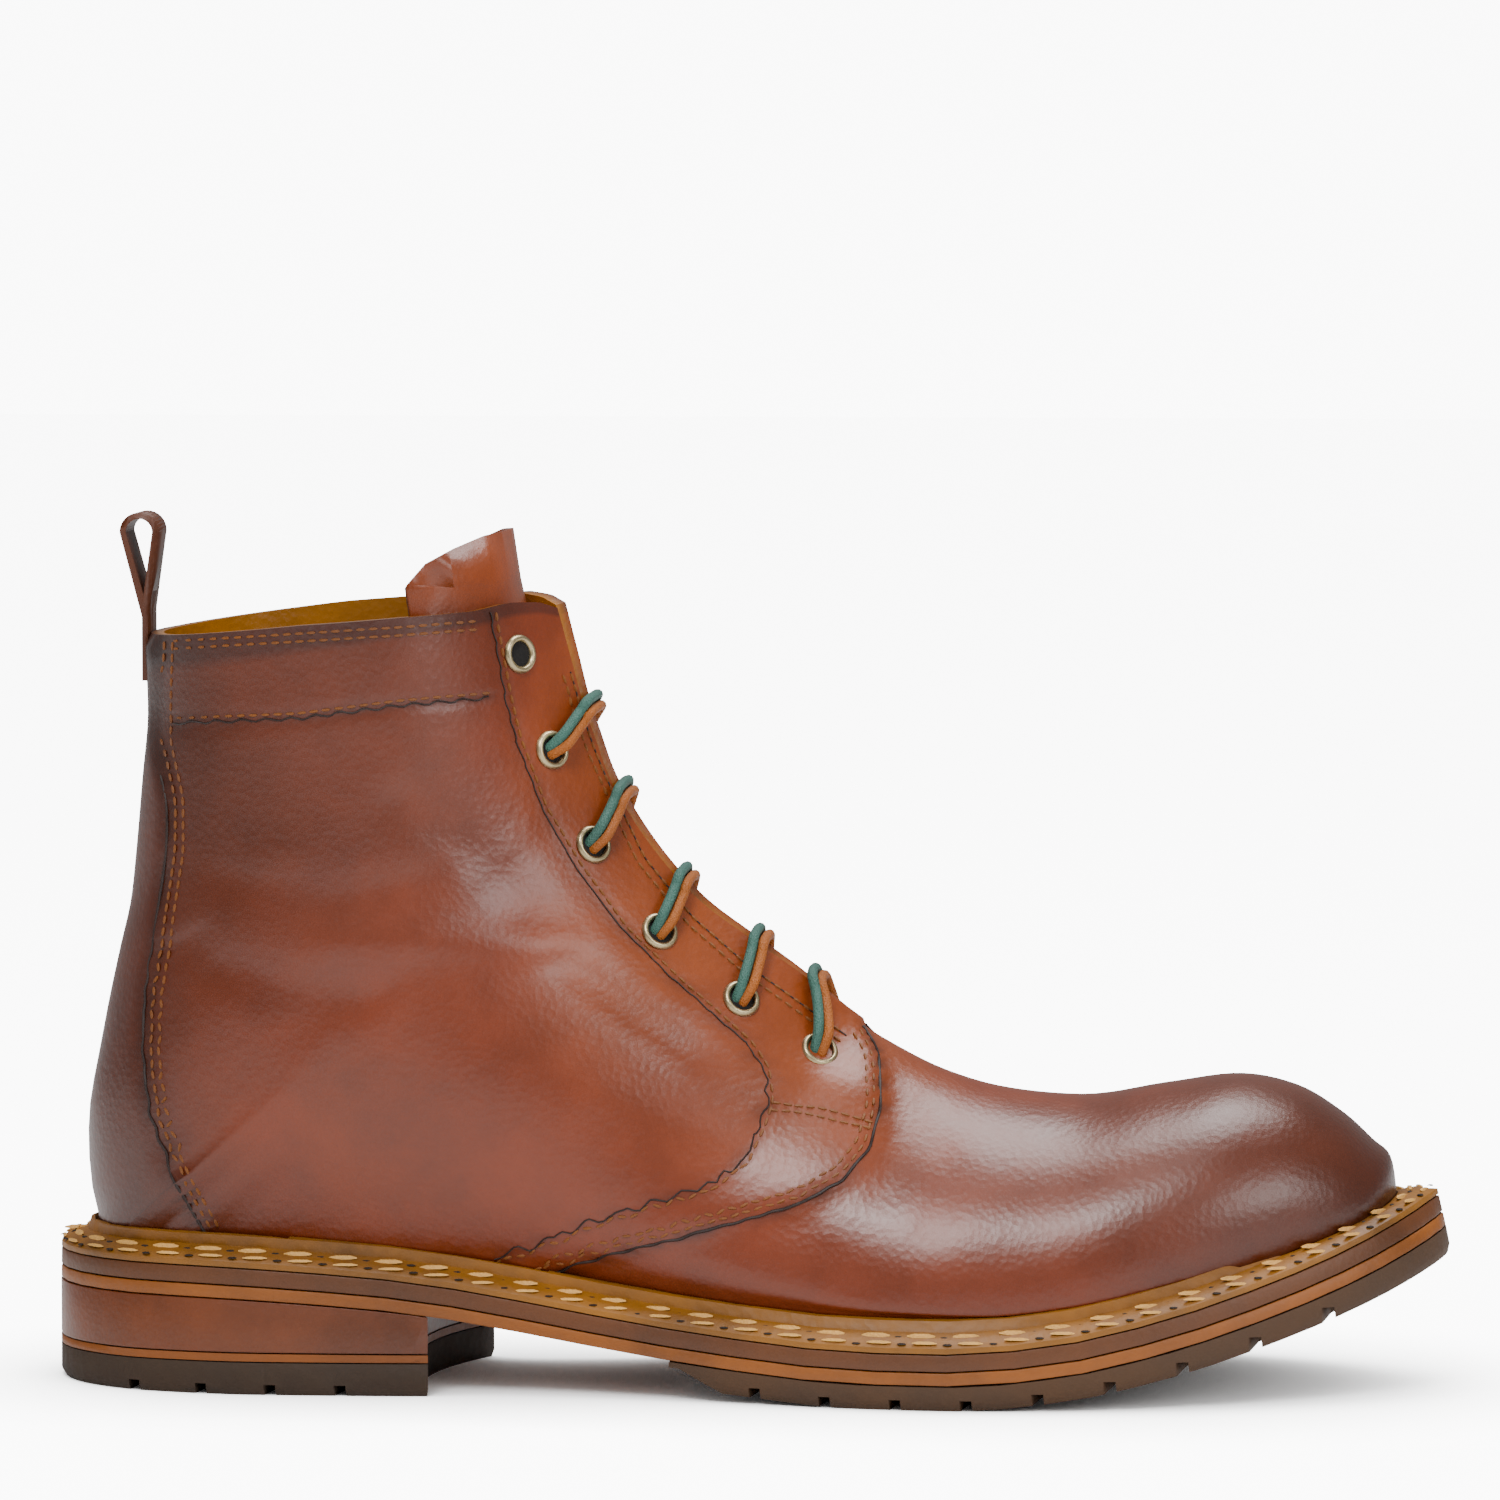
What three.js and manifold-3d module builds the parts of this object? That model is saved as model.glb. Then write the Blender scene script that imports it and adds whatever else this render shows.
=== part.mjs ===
// Right lace-up ankle boot on a welted leather sole. Millimetres, +X to the toe, +Y to the inner side, +Z up.
import * as THREE from 'three';
import * as BufferGeometryUtils from 'three/addons/utils/BufferGeometryUtils.js';
import Module from 'manifold-3d';

const wasm = await Module();
wasm.setup();

// Driving sizes of the last and the sole
const SOLE_LENGTH = 313.4;
const BALL_WIDTH = 106;
const HEEL_HEIGHT = 22.3;
const TOE_SPRING = 30.5;
const TOE_SWING = 9;
const INSTEP_HEIGHT = 70;
const SHAFT_HEIGHT = 154;

// Thicknesses of the sole, from the ground up
const TREAD_THICKNESS = 5.8;
const TOP_LIFT_THICKNESS = 7.6;
const THIN_LIFT_THICKNESS = 2.0;
const LEATHER_SOLE_THICKNESS = 3.1;
const MIDSOLE_THICKNESS = 4.0;
const INSOLE_THICKNESS = 3.0;
const INSOLE_ROOM = 1.6;
const GROOVE_DEPTH = 2.4;
const GROOVE_WIDTH = 2.6;
const GROOVE_PITCH = 15.8;

// Welt: a strip with a bevelled edge and a lip that stands up against the upper
const WELT_WIDTH = 8.3;
const WELT_BEVEL_WIDTH = 1.7;
const WELT_FOOT_HEIGHT = 1.2;
const WELT_EDGE_HEIGHT = 2.9;
const WELT_TOP_HEIGHT = 4.0;
const LIP_HEIGHT = 6.8;
const LIP_THICKNESS = 2.3;
const LIP_LEAN = 1.3;
const LIP_TOP_THICKNESS = 1.7;
const LIP_ROUNDING = 0.4;
const FEATHER_ROOM = 0.6;

// Leather of the upper
const WALL = 1.6;
const QUARTER_THICKNESS = 1.2;
const QUARTER_ROOT = 0.9;
const BACKSTAY_THICKNESS = 1.2;
const TONGUE_THICKNESS = 1.8;
const THROAT_GAP = 15;
const LOOP_WIDTH = 12;
const LOOP_HEIGHT = 22;
const LOOP_THICKNESS = 1.4;

// Eyelets and laces
const EYELET_DIAMETER = 8.8;
const EYELET_HOLE = 5.6;
const EYELET_BARREL = 6.8;
const EYELET_LIP = 0.9;
const LACE_DIAMETER = 2.4;

// Gap between curved pieces that touch
const GAP = 0.3;

const HEEL_BACK = -SOLE_LENGTH / 2;
const MIDSOLE_TOP = LEATHER_SOLE_THICKNESS + MIDSOLE_THICKNESS;

// Columns: station along the sole, how far the sole is lifted by the heel, and by the toe spring
const SOLE_PROFILE = [
  { station: 0.00, heel: 1.000, toe: 0.000 },
  { station: 0.12, heel: 0.970, toe: 0.000 },
  { station: 0.25, heel: 0.820, toe: 0.000 },
  { station: 0.35, heel: 0.520, toe: 0.000 },
  { station: 0.44, heel: 0.242, toe: 0.000 },
  { station: 0.52, heel: 0.085, toe: 0.000 },
  { station: 0.59, heel: 0.000, toe: 0.000 },
  { station: 0.66, heel: 0.000, toe: 0.000 },
  { station: 0.73, heel: 0.000, toe: 0.066 },
  { station: 0.80, heel: 0.000, toe: 0.216 },
  { station: 0.87, heel: 0.000, toe: 0.436 },
  { station: 0.94, heel: 0.000, toe: 0.708 },
  { station: 1.00, heel: 0.000, toe: 1.000 },
];

// Columns: station, half widths as shares of the ball width, and the swing of the middle line to the inner side
const SOLE_OUTLINE = [
  { station: 0.00, lateral: 0.000, medial: 0.000, swing: 0.00 },
  { station: 0.03, lateral: 0.205, medial: 0.205, swing: 0.00 },
  { station: 0.08, lateral: 0.295, medial: 0.295, swing: 0.00 },
  { station: 0.16, lateral: 0.335, medial: 0.335, swing: 0.00 },
  { station: 0.25, lateral: 0.330, medial: 0.328, swing: 0.03 },
  { station: 0.33, lateral: 0.315, medial: 0.290, swing: 0.11 },
  { station: 0.42, lateral: 0.345, medial: 0.300, swing: 0.28 },
  { station: 0.50, lateral: 0.405, medial: 0.360, swing: 0.45 },
  { station: 0.58, lateral: 0.465, medial: 0.440, swing: 0.61 },
  { station: 0.66, lateral: 0.495, medial: 0.495, swing: 0.73 },
  { station: 0.74, lateral: 0.486, medial: 0.505, swing: 0.82 },
  { station: 0.82, lateral: 0.440, medial: 0.462, swing: 0.89 },
  { station: 0.90, lateral: 0.352, medial: 0.370, swing: 0.95 },
  { station: 0.96, lateral: 0.235, medial: 0.242, swing: 0.99 },
  { station: 1.00, lateral: 0.000, medial: 0.000, swing: 1.00 },
];

// A section of the last for each row, fanned from the toe tip over the instep to the collar.
// reach: where the section starts on the ridge or the throat, as a share of the sole's length;
// instep, shaft: how high that is; sole: where it ends on the feather edge; back: or on the back seam;
// gap: half gap of the throat; peak: angle of the ridge; lateral, medial: greatest half widths;
// belly: where along the section; crown, foot: fullness of the top and of the foot, which stands upright.
const UPPER_SECTIONS = [
  { reach: 0.966, instep: 0.000, shaft: 0.00, sole: 1.000, back: 0, gap: 0, peak: 90,
    lateral: 0.000, medial: 0.000, belly: 0.70, crown: 0.60, foot: 0.20 },
  { reach: 0.961, instep: 0.189, shaft: 0.00, sole: 0.977, back: 0, gap: 0, peak: 90,
    lateral: 0.150, medial: 0.154, belly: 0.72, crown: 0.60, foot: 0.20 },
  { reach: 0.947, instep: 0.284, shaft: 0.00, sole: 0.945, back: 0, gap: 0, peak: 90,
    lateral: 0.222, medial: 0.230, belly: 0.73, crown: 0.60, foot: 0.20 },
  { reach: 0.925, instep: 0.413, shaft: 0.00, sole: 0.912, back: 0, gap: 0, peak: 90,
    lateral: 0.274, medial: 0.288, belly: 0.75, crown: 0.60, foot: 0.20 },
  { reach: 0.893, instep: 0.552, shaft: 0.00, sole: 0.866, back: 0, gap: 0, peak: 90,
    lateral: 0.330, medial: 0.350, belly: 0.77, crown: 0.58, foot: 0.20 },
  { reach: 0.851, instep: 0.652, shaft: 0.00, sole: 0.812, back: 0, gap: 0, peak: 90,
    lateral: 0.378, medial: 0.400, belly: 0.79, crown: 0.56, foot: 0.26 },
  { reach: 0.800, instep: 0.689, shaft: 0.00, sole: 0.752, back: 0, gap: 0, peak: 90,
    lateral: 0.413, medial: 0.433, belly: 0.80, crown: 0.52, foot: 0.34 },
  { reach: 0.745, instep: 0.704, shaft: 0.00, sole: 0.686, back: 0, gap: 0, peak: 90,
    lateral: 0.426, medial: 0.438, belly: 0.80, crown: 0.48, foot: 0.34 },
  { reach: 0.690, instep: 0.752, shaft: 0.00, sole: 0.618, back: 0, gap: 0, peak: 90,
    lateral: 0.424, medial: 0.424, belly: 0.79, crown: 0.42, foot: 0.34 },
  { reach: 0.639, instep: 0.822, shaft: 0.00, sole: 0.549, back: 0, gap: 0, peak: 90,
    lateral: 0.398, medial: 0.380, belly: 0.77, crown: 0.36, foot: 0.34 },
  { reach: 0.598, instep: 0.917, shaft: 0.00, sole: 0.478, back: 0, gap: 0, peak: 85,
    lateral: 0.364, medial: 0.340, belly: 0.74, crown: 0.34, foot: 0.34 },
  { reach: 0.573, instep: 0.990, shaft: 0.00, sole: 0.407, back: 0, gap: 0, peak: 66,
    lateral: 0.332, medial: 0.314, belly: 0.70, crown: 0.38, foot: 0.34 },
  { reach: 0.534, instep: 1.000, shaft: 0.095, sole: 0.326, back: 0, gap: 0.38, peak: 54,
    lateral: 0.318, medial: 0.308, belly: 0.63, crown: 0.42, foot: 0.34 },
  { reach: 0.500, instep: 1.000, shaft: 0.175, sole: 0.246, back: 0, gap: 0.53, peak: 51,
    lateral: 0.322, medial: 0.314, belly: 0.57, crown: 0.45, foot: 0.34 },
  { reach: 0.466, instep: 1.000, shaft: 0.256, sole: 0.163, back: 0, gap: 0.61, peak: 50,
    lateral: 0.334, medial: 0.330, belly: 0.53, crown: 0.46, foot: 0.36 },
  { reach: 0.439, instep: 1.000, shaft: 0.351, sole: 0.078, back: 0, gap: 0.66, peak: 50,
    lateral: 0.343, medial: 0.339, belly: 0.50, crown: 0.46, foot: 0.40 },
  { reach: 0.417, instep: 1.000, shaft: 0.452, sole: 0.025, back: 0, gap: 0.70, peak: 50,
    lateral: 0.348, medial: 0.345, belly: 0.48, crown: 0.46, foot: 0.45 },
  { reach: 0.399, instep: 1.000, shaft: 0.560, sole: 0.000, back: 0, gap: 0.73, peak: 50,
    lateral: 0.350, medial: 0.348, belly: 0.47, crown: 0.46, foot: 0.60 },
  { reach: 0.388, instep: 1.000, shaft: 0.665, sole: 0.000, back: 0.20, gap: 0.76, peak: 50,
    lateral: 0.348, medial: 0.348, belly: 0.47, crown: 0.46, foot: 0.60 },
  { reach: 0.379, instep: 1.000, shaft: 0.762, sole: 0.000, back: 0.395, gap: 0.82, peak: 49,
    lateral: 0.344, medial: 0.344, belly: 0.47, crown: 0.46, foot: 0.60 },
  { reach: 0.372, instep: 1.000, shaft: 0.860, sole: 0.000, back: 0.59, gap: 0.88, peak: 48,
    lateral: 0.344, medial: 0.344, belly: 0.47, crown: 0.46, foot: 0.60 },
  { reach: 0.365, instep: 1.000, shaft: 0.956, sole: 0.000, back: 0.771, gap: 0.94, peak: 48,
    lateral: 0.348, medial: 0.348, belly: 0.48, crown: 0.46, foot: 0.60 },
  { reach: 0.357, instep: 1.000, shaft: 1.070, sole: 0.000, back: 0.974, gap: 1.00, peak: 48,
    lateral: 0.352, medial: 0.352, belly: 0.48, crown: 0.46, foot: 0.60 },
  { reach: 0.350, instep: 1.000, shaft: 1.220, sole: 0.000, back: 1.140, gap: 1.05, peak: 48,
    lateral: 0.354, medial: 0.354, belly: 0.48, crown: 0.46, foot: 0.60 },
];
const THROAT_ROW = 11;
const HEEL_CORNER_ROW = 17;
const LAST_ROW = UPPER_SECTIONS.length - 1;

// Columns: height on the back seam as a share of the shaft, and its lean forward as a share of the sole's length
const BACK_SEAM = [
  { rise: 0.00, lean: 0.0000 },
  { rise: 0.06, lean: 0.0000 },
  { rise: 0.10, lean: -0.0048 },
  { rise: 0.15, lean: -0.0068 },
  { rise: 0.19, lean: -0.0070 },
  { rise: 0.24, lean: -0.0040 },
  { rise: 0.30, lean: 0.0018 },
  { rise: 0.37, lean: 0.0085 },
  { rise: 0.45, lean: 0.0172 },
  { rise: 0.52, lean: 0.0251 },
  { rise: 0.60, lean: 0.0295 },
  { rise: 0.70, lean: 0.0340 },
  { rise: 0.80, lean: 0.0383 },
  { rise: 0.88, lean: 0.0370 },
  { rise: 1.00, lean: 0.0348 },
];

// Smooth value of one column of a table at a place along its key column, with no overshoot
function along(table, key, column, place) {
  const last = table.length - 1;
  const at = THREE.MathUtils.clamp(place, table[0][key], table[last][key]);
  let row = 0;
  while (row < last - 1 && at > table[row + 1][key]) row += 1;
  const slope = (i) => (table[i + 1][column] - table[i][column]) / (table[i + 1][key] - table[i][key]);
  const tangent = (i) => {
    if (i === 0) return slope(0);
    if (i === last) return slope(last - 1);
    const before = slope(i - 1);
    const after = slope(i);
    return before * after <= 0 ? 0 : (2 * before * after) / (before + after);
  };
  const span = table[row + 1][key] - table[row][key];
  const u = (at - table[row][key]) / span;
  const start = table[row][column];
  const end = table[row + 1][column];
  const rise = tangent(row) * span;
  const fall = tangent(row + 1) * span;
  return start + u * rise + u * u * (3 * (end - start) - 2 * rise - fall)
    + u * u * u * (rise + fall - 2 * (end - start));
}

// Smooth value of one column of the upper's sections at a row that need not be whole
function section(column, row) {
  const last = UPPER_SECTIONS.length - 1;
  const from = Math.min(Math.floor(row), last - 1);
  const u = row - from;
  const value = (i) => UPPER_SECTIONS[THREE.MathUtils.clamp(i, 0, last)][column];
  const [a, b, c, d] = [value(from - 1), value(from), value(from + 1), value(from + 2)];
  return b + 0.5 * u * (c - a + u * (2 * a - 5 * b + 4 * c - d + u * (3 * (b - c) + d - a)));
}

// Height of the leather sole's underside above the ground
function soleHeight(x) {
  const station = (x - HEEL_BACK) / SOLE_LENGTH;
  const heel = along(SOLE_PROFILE, 'station', 'heel', station);
  const toe = along(SOLE_PROFILE, 'station', 'toe', station);
  return TREAD_THICKNESS + (HEEL_HEIGHT - TREAD_THICKNESS) * heel + TOE_SPRING * toe;
}

function middleLine(x) {
  return TOE_SWING * along(SOLE_OUTLINE, 'station', 'swing', (x - HEEL_BACK) / SOLE_LENGTH);
}

// A point of the sole's outline: turn runs from 0 at the heel to 1 at the toe, side is -1 outer and 1 inner
function outline(turn, side) {
  const table = OUTLINE_BY_TURN;
  const x = HEEL_BACK + SOLE_LENGTH * (1 - Math.cos(Math.PI * turn)) / 2;
  const half = BALL_WIDTH * along(table, 'turn', side < 0 ? 'lateral' : 'medial', turn);
  return new THREE.Vector2(x, middleLine(x) + side * half);
}
const turnOf = (station) => Math.acos(1 - 2 * station) / Math.PI;
const OUTLINE_BY_TURN = SOLE_OUTLINE.map((row) => ({ ...row, turn: turnOf(row.station) }));

function insetOutline(turn, side, inset) {
  const step = 0.004;
  const here = outline(turn, side);
  if (turn < step) return new THREE.Vector2(here.x + inset, 0);
  if (turn > 1 - step) return new THREE.Vector2(here.x - inset, here.y);
  const run = outline(turn + step, side).sub(outline(turn - step, side)).normalize();
  return here.add(new THREE.Vector2(run.y, -run.x).multiplyScalar(side * inset));
}

// A point above the leather sole's underside, measured square to the bent sole
function onStack(flat, rise) {
  const step = 1;
  const tilt = Math.atan((soleHeight(flat.x + step) - soleHeight(flat.x - step)) / (2 * step));
  return [flat.x - rise * Math.sin(tilt), flat.y, soleHeight(flat.x) + rise * Math.cos(tilt)];
}

// Solids from rows of points, and booleans
function toGeometry(points, faces) {
  let volume = 0;
  for (const [a, b, c] of faces) {
    const [p, q, r] = [points[a], points[b], points[c]];
    volume += p[0] * (q[1] * r[2] - q[2] * r[1]) - p[1] * (q[0] * r[2] - q[2] * r[0])
      + p[2] * (q[0] * r[1] - q[1] * r[0]);
  }
  const index = faces.map(([a, b, c]) => (volume < 0 ? [a, c, b] : [a, b, c]));
  const geometry = new THREE.BufferGeometry();
  geometry.setAttribute('position', new THREE.Float32BufferAttribute(points.flat(), 3));
  geometry.setIndex(index.flat());
  return geometry;
}

function toSolid(geometry) {
  const bare = geometry.clone();
  bare.deleteAttribute('normal');
  bare.deleteAttribute('uv');
  const merged = BufferGeometryUtils.mergeVertices(bare, 1e-4);
  const corners = Array.from(merged.index.array);
  const kept = [];
  for (let i = 0; i < corners.length; i += 3) {
    const [a, b, c] = corners.slice(i, i + 3);
    if (a !== b && b !== c && c !== a) kept.push(a, b, c);
  }
  const vertProperties = new Float32Array(merged.attributes.position.array);
  return new wasm.Manifold(new wasm.Mesh({ numProp: 3, vertProperties, triVerts: new Uint32Array(kept) }));
}

function fromSolid(solid) {
  const mesh = solid.getMesh();
  const geometry = new THREE.BufferGeometry();
  geometry.setAttribute('position', new THREE.Float32BufferAttribute(mesh.vertProperties, 3));
  geometry.setIndex(Array.from(mesh.triVerts));
  return geometry;
}

// The largest body that a cut leaves, without crumbs or sealed pockets
function mainBody(solid) {
  return solid.decompose().reduce((best, body) => (body.volume() > best.volume() ? body : best));
}

// A closed skin over a grid of points that is closed round one way and capped at both ends
function ringLoft(rings) {
  const count = rings[0].length;
  const faces = [];
  for (let i = 0; i + 1 < rings.length; i += 1) {
    for (let j = 0; j < count; j += 1) {
      const next = (j + 1) % count;
      faces.push([i * count + j, i * count + next, (i + 1) * count + j]);
      faces.push([i * count + next, (i + 1) * count + next, (i + 1) * count + j]);
    }
  }
  return { points: rings.flat(), faces };
}

// A layer of the sole between two rises, with its edge set in by a skirt of [inset, rise] pairs
function soleLayer(skirt, from = 0, to = 1, steps = 30) {
  const rows = [];
  const pairs = typeof skirt === 'function' ? skirt : () => skirt;
  for (let k = 0; k <= steps; k += 1) {
    const turn = from + (to - from) * k / steps;
    rows.push([-1, 1].map((side) => pairs(turn).map(([inset, rise]) => onStack(insetOutline(turn, side, inset), rise))));
  }
  const rings = rows.map(([outer, inner]) => [...outer, ...[...inner].reverse()]);
  const { points, faces } = ringLoft(rings);
  const count = rings[0].length;
  for (const base of [0, steps * count]) {
    for (let j = 0; j < count / 2 - 1; j += 1) {
      const [a, b] = [base + j, base + j + 1];
      const [c, d] = [base + count - 1 - j, base + count - 2 - j];
      faces.push(base ? [a, b, c] : [a, c, b]);
      faces.push(base ? [b, d, c] : [b, c, d]);
    }
  }
  return toGeometry(points, faces);
}

// An outline in plan or in side view, pushed into a solid
function prism(corners, depth, place) {
  const shape = new THREE.Shape(corners.map(([u, v]) => new THREE.Vector2(u, v)));
  const geometry = new THREE.ExtrudeGeometry(shape, { depth, bevelEnabled: false });
  return toSolid(geometry.applyMatrix4(place));
}
const upright = (z) => new THREE.Matrix4().makeTranslation(0, 0, z);
const sideways = (y) => new THREE.Matrix4().makeRotationX(Math.PI / 2).setPosition(0, y, 0);

function box(x, y, z, length, width, height, turn = 0) {
  const geometry = new THREE.BoxGeometry(length, width, height);
  geometry.rotateZ(turn);
  geometry.translate(x, y, z);
  return toSolid(geometry);
}

// Sole pieces
const FAR = 400;

function leatherSole() {
  return soleLayer([[0, 0], [0, LEATHER_SOLE_THICKNESS - GAP]]);
}

function midsole() {
  return soleLayer([[0, LEATHER_SOLE_THICKNESS], [0, MIDSOLE_TOP - GAP]]);
}

// The grooves of the tread: cuts in from both edges, a channel inside them and bars across the middle
const TREAD_START = 0.455;
const TREAD_EDGE_CUT = 15;
const TREAD_INSET = 0.8;

function grooves(fromX, toX, groundHeight) {
  const cuts = [];
  const count = Math.floor((toX - fromX) / GROOVE_PITCH);
  for (let k = 0; k <= count; k += 1) {
    const x = fromX + k * GROOVE_PITCH;
    const station = (x - HEEL_BACK) / SOLE_LENGTH;
    for (const side of [-1, 1]) {
      const edge = insetOutline(turnOf(station), side, TREAD_EDGE_CUT / 2 - 1);
      const z = groundHeight(x) + GROOVE_DEPTH / 2 - 2;
      cuts.push(box(x, edge.y, z, GROOVE_WIDTH, TREAD_EDGE_CUT, GROOVE_DEPTH + 4, side * 0.12));
    }
    const middle = x + GROOVE_PITCH / 2;
    const half = (outline(turnOf(station), 1).y - outline(turnOf(station), -1).y) / 2 - TREAD_EDGE_CUT - 5;
    if (half > 8 && k < count) {
      const z = groundHeight(middle) + GROOVE_DEPTH / 2 - 2;
      cuts.push(box(middle, middleLine(x), z, GROOVE_WIDTH, 2 * half, GROOVE_DEPTH + 4));
    }
  }
  return cuts;
}

function outsoleForepart() {
  const start = turnOf(TREAD_START);
  const bottom = -TREAD_THICKNESS;
  const skirt = [[TREAD_INSET + 1.2, bottom], [TREAD_INSET, bottom + 1.6], [0, -GAP]];
  let solid = toSolid(soleLayer(skirt, start, 1, 24));
  const rampStart = HEEL_BACK + SOLE_LENGTH * TREAD_START;
  const ramp = 12;
  const nose = prism([[rampStart - 20, -20], [rampStart + ramp, -20], [rampStart + ramp, soleHeight(rampStart + ramp) - TREAD_THICKNESS],
    [rampStart + 2, soleHeight(rampStart) - 1.6], [rampStart - 20, soleHeight(rampStart) - 1.6]], FAR, sideways(FAR / 2));
  solid = solid.subtract(nose);
  const ground = (x) => soleHeight(x) - TREAD_THICKNESS;
  for (const cut of grooves(rampStart + ramp + 8, HEEL_BACK + SOLE_LENGTH * 0.955, ground)) solid = solid.subtract(cut);
  return fromSolid(solid);
}

// Heel: seat-shaped block on a thin lift and a rubber top lift, with one hollow breast
const BREAST_OUTER = 0.283;
const BREAST_INNER = 0.306;
const BREAST_HOLLOW = 8;

function breastCutter() {
  const outer = new THREE.Vector2(HEEL_BACK + SOLE_LENGTH * BREAST_OUTER, -BALL_WIDTH * 0.33);
  const inner = new THREE.Vector2(HEEL_BACK + SOLE_LENGTH * BREAST_INNER, BALL_WIDTH * 0.33);
  const steps = 10;
  const corners = [];
  for (let k = 0; k <= steps; k += 1) {
    const u = k / steps;
    const point = outer.clone().lerp(inner, u);
    corners.push([point.x - BREAST_HOLLOW * 4 * u * (1 - u), point.y]);
  }
  const slope = (inner.x - outer.x) / (inner.y - outer.y);
  const reach = BALL_WIDTH;
  corners.push([inner.x + slope * reach, inner.y + reach], [inner.x + FAR, inner.y + reach],
    [inner.x + FAR, outer.y - reach], [outer.x - slope * reach, outer.y - reach]);
  return prism(corners, FAR, upright(-FAR / 2));
}

function heelPiece(low, high, edge = 0) {
  const end = turnOf(0.36);
  const rows = [];
  const steps = 20;
  for (let k = 0; k <= steps; k += 1) {
    const turn = end * k / steps;
    const row = [];
    for (const side of [-1, 1]) {
      const low2 = insetOutline(turn, side, edge);
      const top = high === null ? (flat) => soleHeight(flat.x) - GAP : () => high;
      const flat = insetOutline(turn, side, 0);
      row.push([[low2.x, low2.y, low], [flat.x, flat.y, low + (edge ? 1.6 : 0.4)], [flat.x, flat.y, top(flat)]]);
    }
    rows.push([...row[0], ...row[1].reverse()]);
  }
  const { points, faces } = ringLoft(rows);
  for (const [base, flip] of [[0, false], [steps * 6, true]]) {
    for (let j = 0; j < 2; j += 1) {
      const [a, b, c, d] = [base + j, base + j + 1, base + 5 - j, base + 4 - j];
      faces.push(flip ? [a, b, c] : [a, c, b]);
      faces.push(flip ? [b, d, c] : [b, c, d]);
    }
  }
  return toSolid(toGeometry(points, faces)).subtract(breastCutter());
}

function topLift() {
  let solid = heelPiece(0, TOP_LIFT_THICKNESS - GAP, 1.0);
  const breast = HEEL_BACK + SOLE_LENGTH * BREAST_OUTER;
  for (const cut of grooves(HEEL_BACK + 22, breast - 8, () => 0)) solid = solid.subtract(cut);
  return fromSolid(solid);
}

function thinLift() {
  return fromSolid(heelPiece(TOP_LIFT_THICKNESS, TOP_LIFT_THICKNESS + THIN_LIFT_THICKNESS - GAP));
}

function heelBlock() {
  return fromSolid(heelPiece(TOP_LIFT_THICKNESS + THIN_LIFT_THICKNESS, null));
}

// Welt all round: its section is set in from the sole's edge and swept round the outline
function stormWelt() {
  const base = MIDSOLE_TOP;
  const foot = WELT_WIDTH - LIP_THICKNESS;
  const count = 30;
  const loop = [];
  for (let k = 0; k < count; k += 1) loop.push([k / count, -1]);
  for (let k = count; k > 0; k -= 1) loop.push([k / count, 1]);
  const rings = loop.map(([turn, side]) => {
    const top = lipTop(turn, side);
    const profile = [[0, base], [0, base + WELT_FOOT_HEIGHT], [WELT_BEVEL_WIDTH, base + WELT_EDGE_HEIGHT],
      [Math.min(foot, top - LIP_TOP_THICKNESS + LIP_LEAN), base + WELT_TOP_HEIGHT],
      [top - LIP_TOP_THICKNESS, base + LIP_HEIGHT - LIP_ROUNDING], [top, base + LIP_HEIGHT], [WELT_WIDTH, base]];
    return profile.map(([inset, rise]) => onStack(insetOutline(turn, side, inset), rise));
  });
  const { points, faces } = ringLoft([...rings, rings[0]]);
  return fromSolid(mainBody(toSolid(toGeometry(points, faces)).subtract(roomForUpper())));
}

// The space that the upper takes where it stands in the welt's lip
function roomForUpper() {
  const depth = -LIP_HEIGHT / 2;
  const quarters = shell(rowsFrom(9), T_STEPS, depth, QUARTER_THICKNESS + GAP).intersect(quarterPrism());
  const counter = shell(BACKSTAY_ROWS, BACKSTAY_STEPS, depth, BACKSTAY_OFFSET + BACKSTAY_THICKNESS + GAP);
  return shell(rowsFrom(0), T_STEPS, depth, GAP).add(quarters).add(counter);
}

// How far in from the sole's edge the lip's top may reach before it meets the upper
const LIP_PROBE = 6;

function lipTop(turn, side) {
  const edge = insetOutline(turn, side, 0);
  const inward = insetOutline(turn, side, 1).sub(edge);
  let reach = WELT_WIDTH;
  for (const row of steps(0.3, HEEL_CORNER_ROW + 1.2, 44)) {
    for (const t of steps(0.6, 1, 10)) {
      for (const half of [-1, 1]) {
        const point = skin(half, row, t);
        const away = new THREE.Vector2(point.x, point.y).sub(edge);
        const rise = point.z - seatHeight(point.x);
        if (Math.abs(away.cross(inward)) > LIP_PROBE || rise < 0 || rise > LIP_HEIGHT || away.length() > 3 * WELT_WIDTH) continue;
        const turnHere = turnOf(THREE.MathUtils.clamp((point.x - HEEL_BACK) / SOLE_LENGTH, 0, 1));
        reach = Math.min(reach, away.dot(inward) - cover(turnHere) - GAP);
      }
    }
  }
  return reach;
}

// The upper is trimmed to the seat at its foot
const FOOT_TRIM = 1.5;

function seatCutter(rise) {
  return toSolid(soleLayer([[-4, -FAR / 20], [-4, rise]], 0, 1, 40));
}

// The upper's skin: row runs over the sections, t from the ridge or throat to the feather edge or back seam
const seatHeight = (x) => soleHeight(x) + MIDSOLE_TOP;

function featherInset(turn) {
  return WELT_WIDTH + GAP + FEATHER_ROOM * THREE.MathUtils.smoothstep(turn, 0.24, 0.32) + cover(turn);
}

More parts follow.
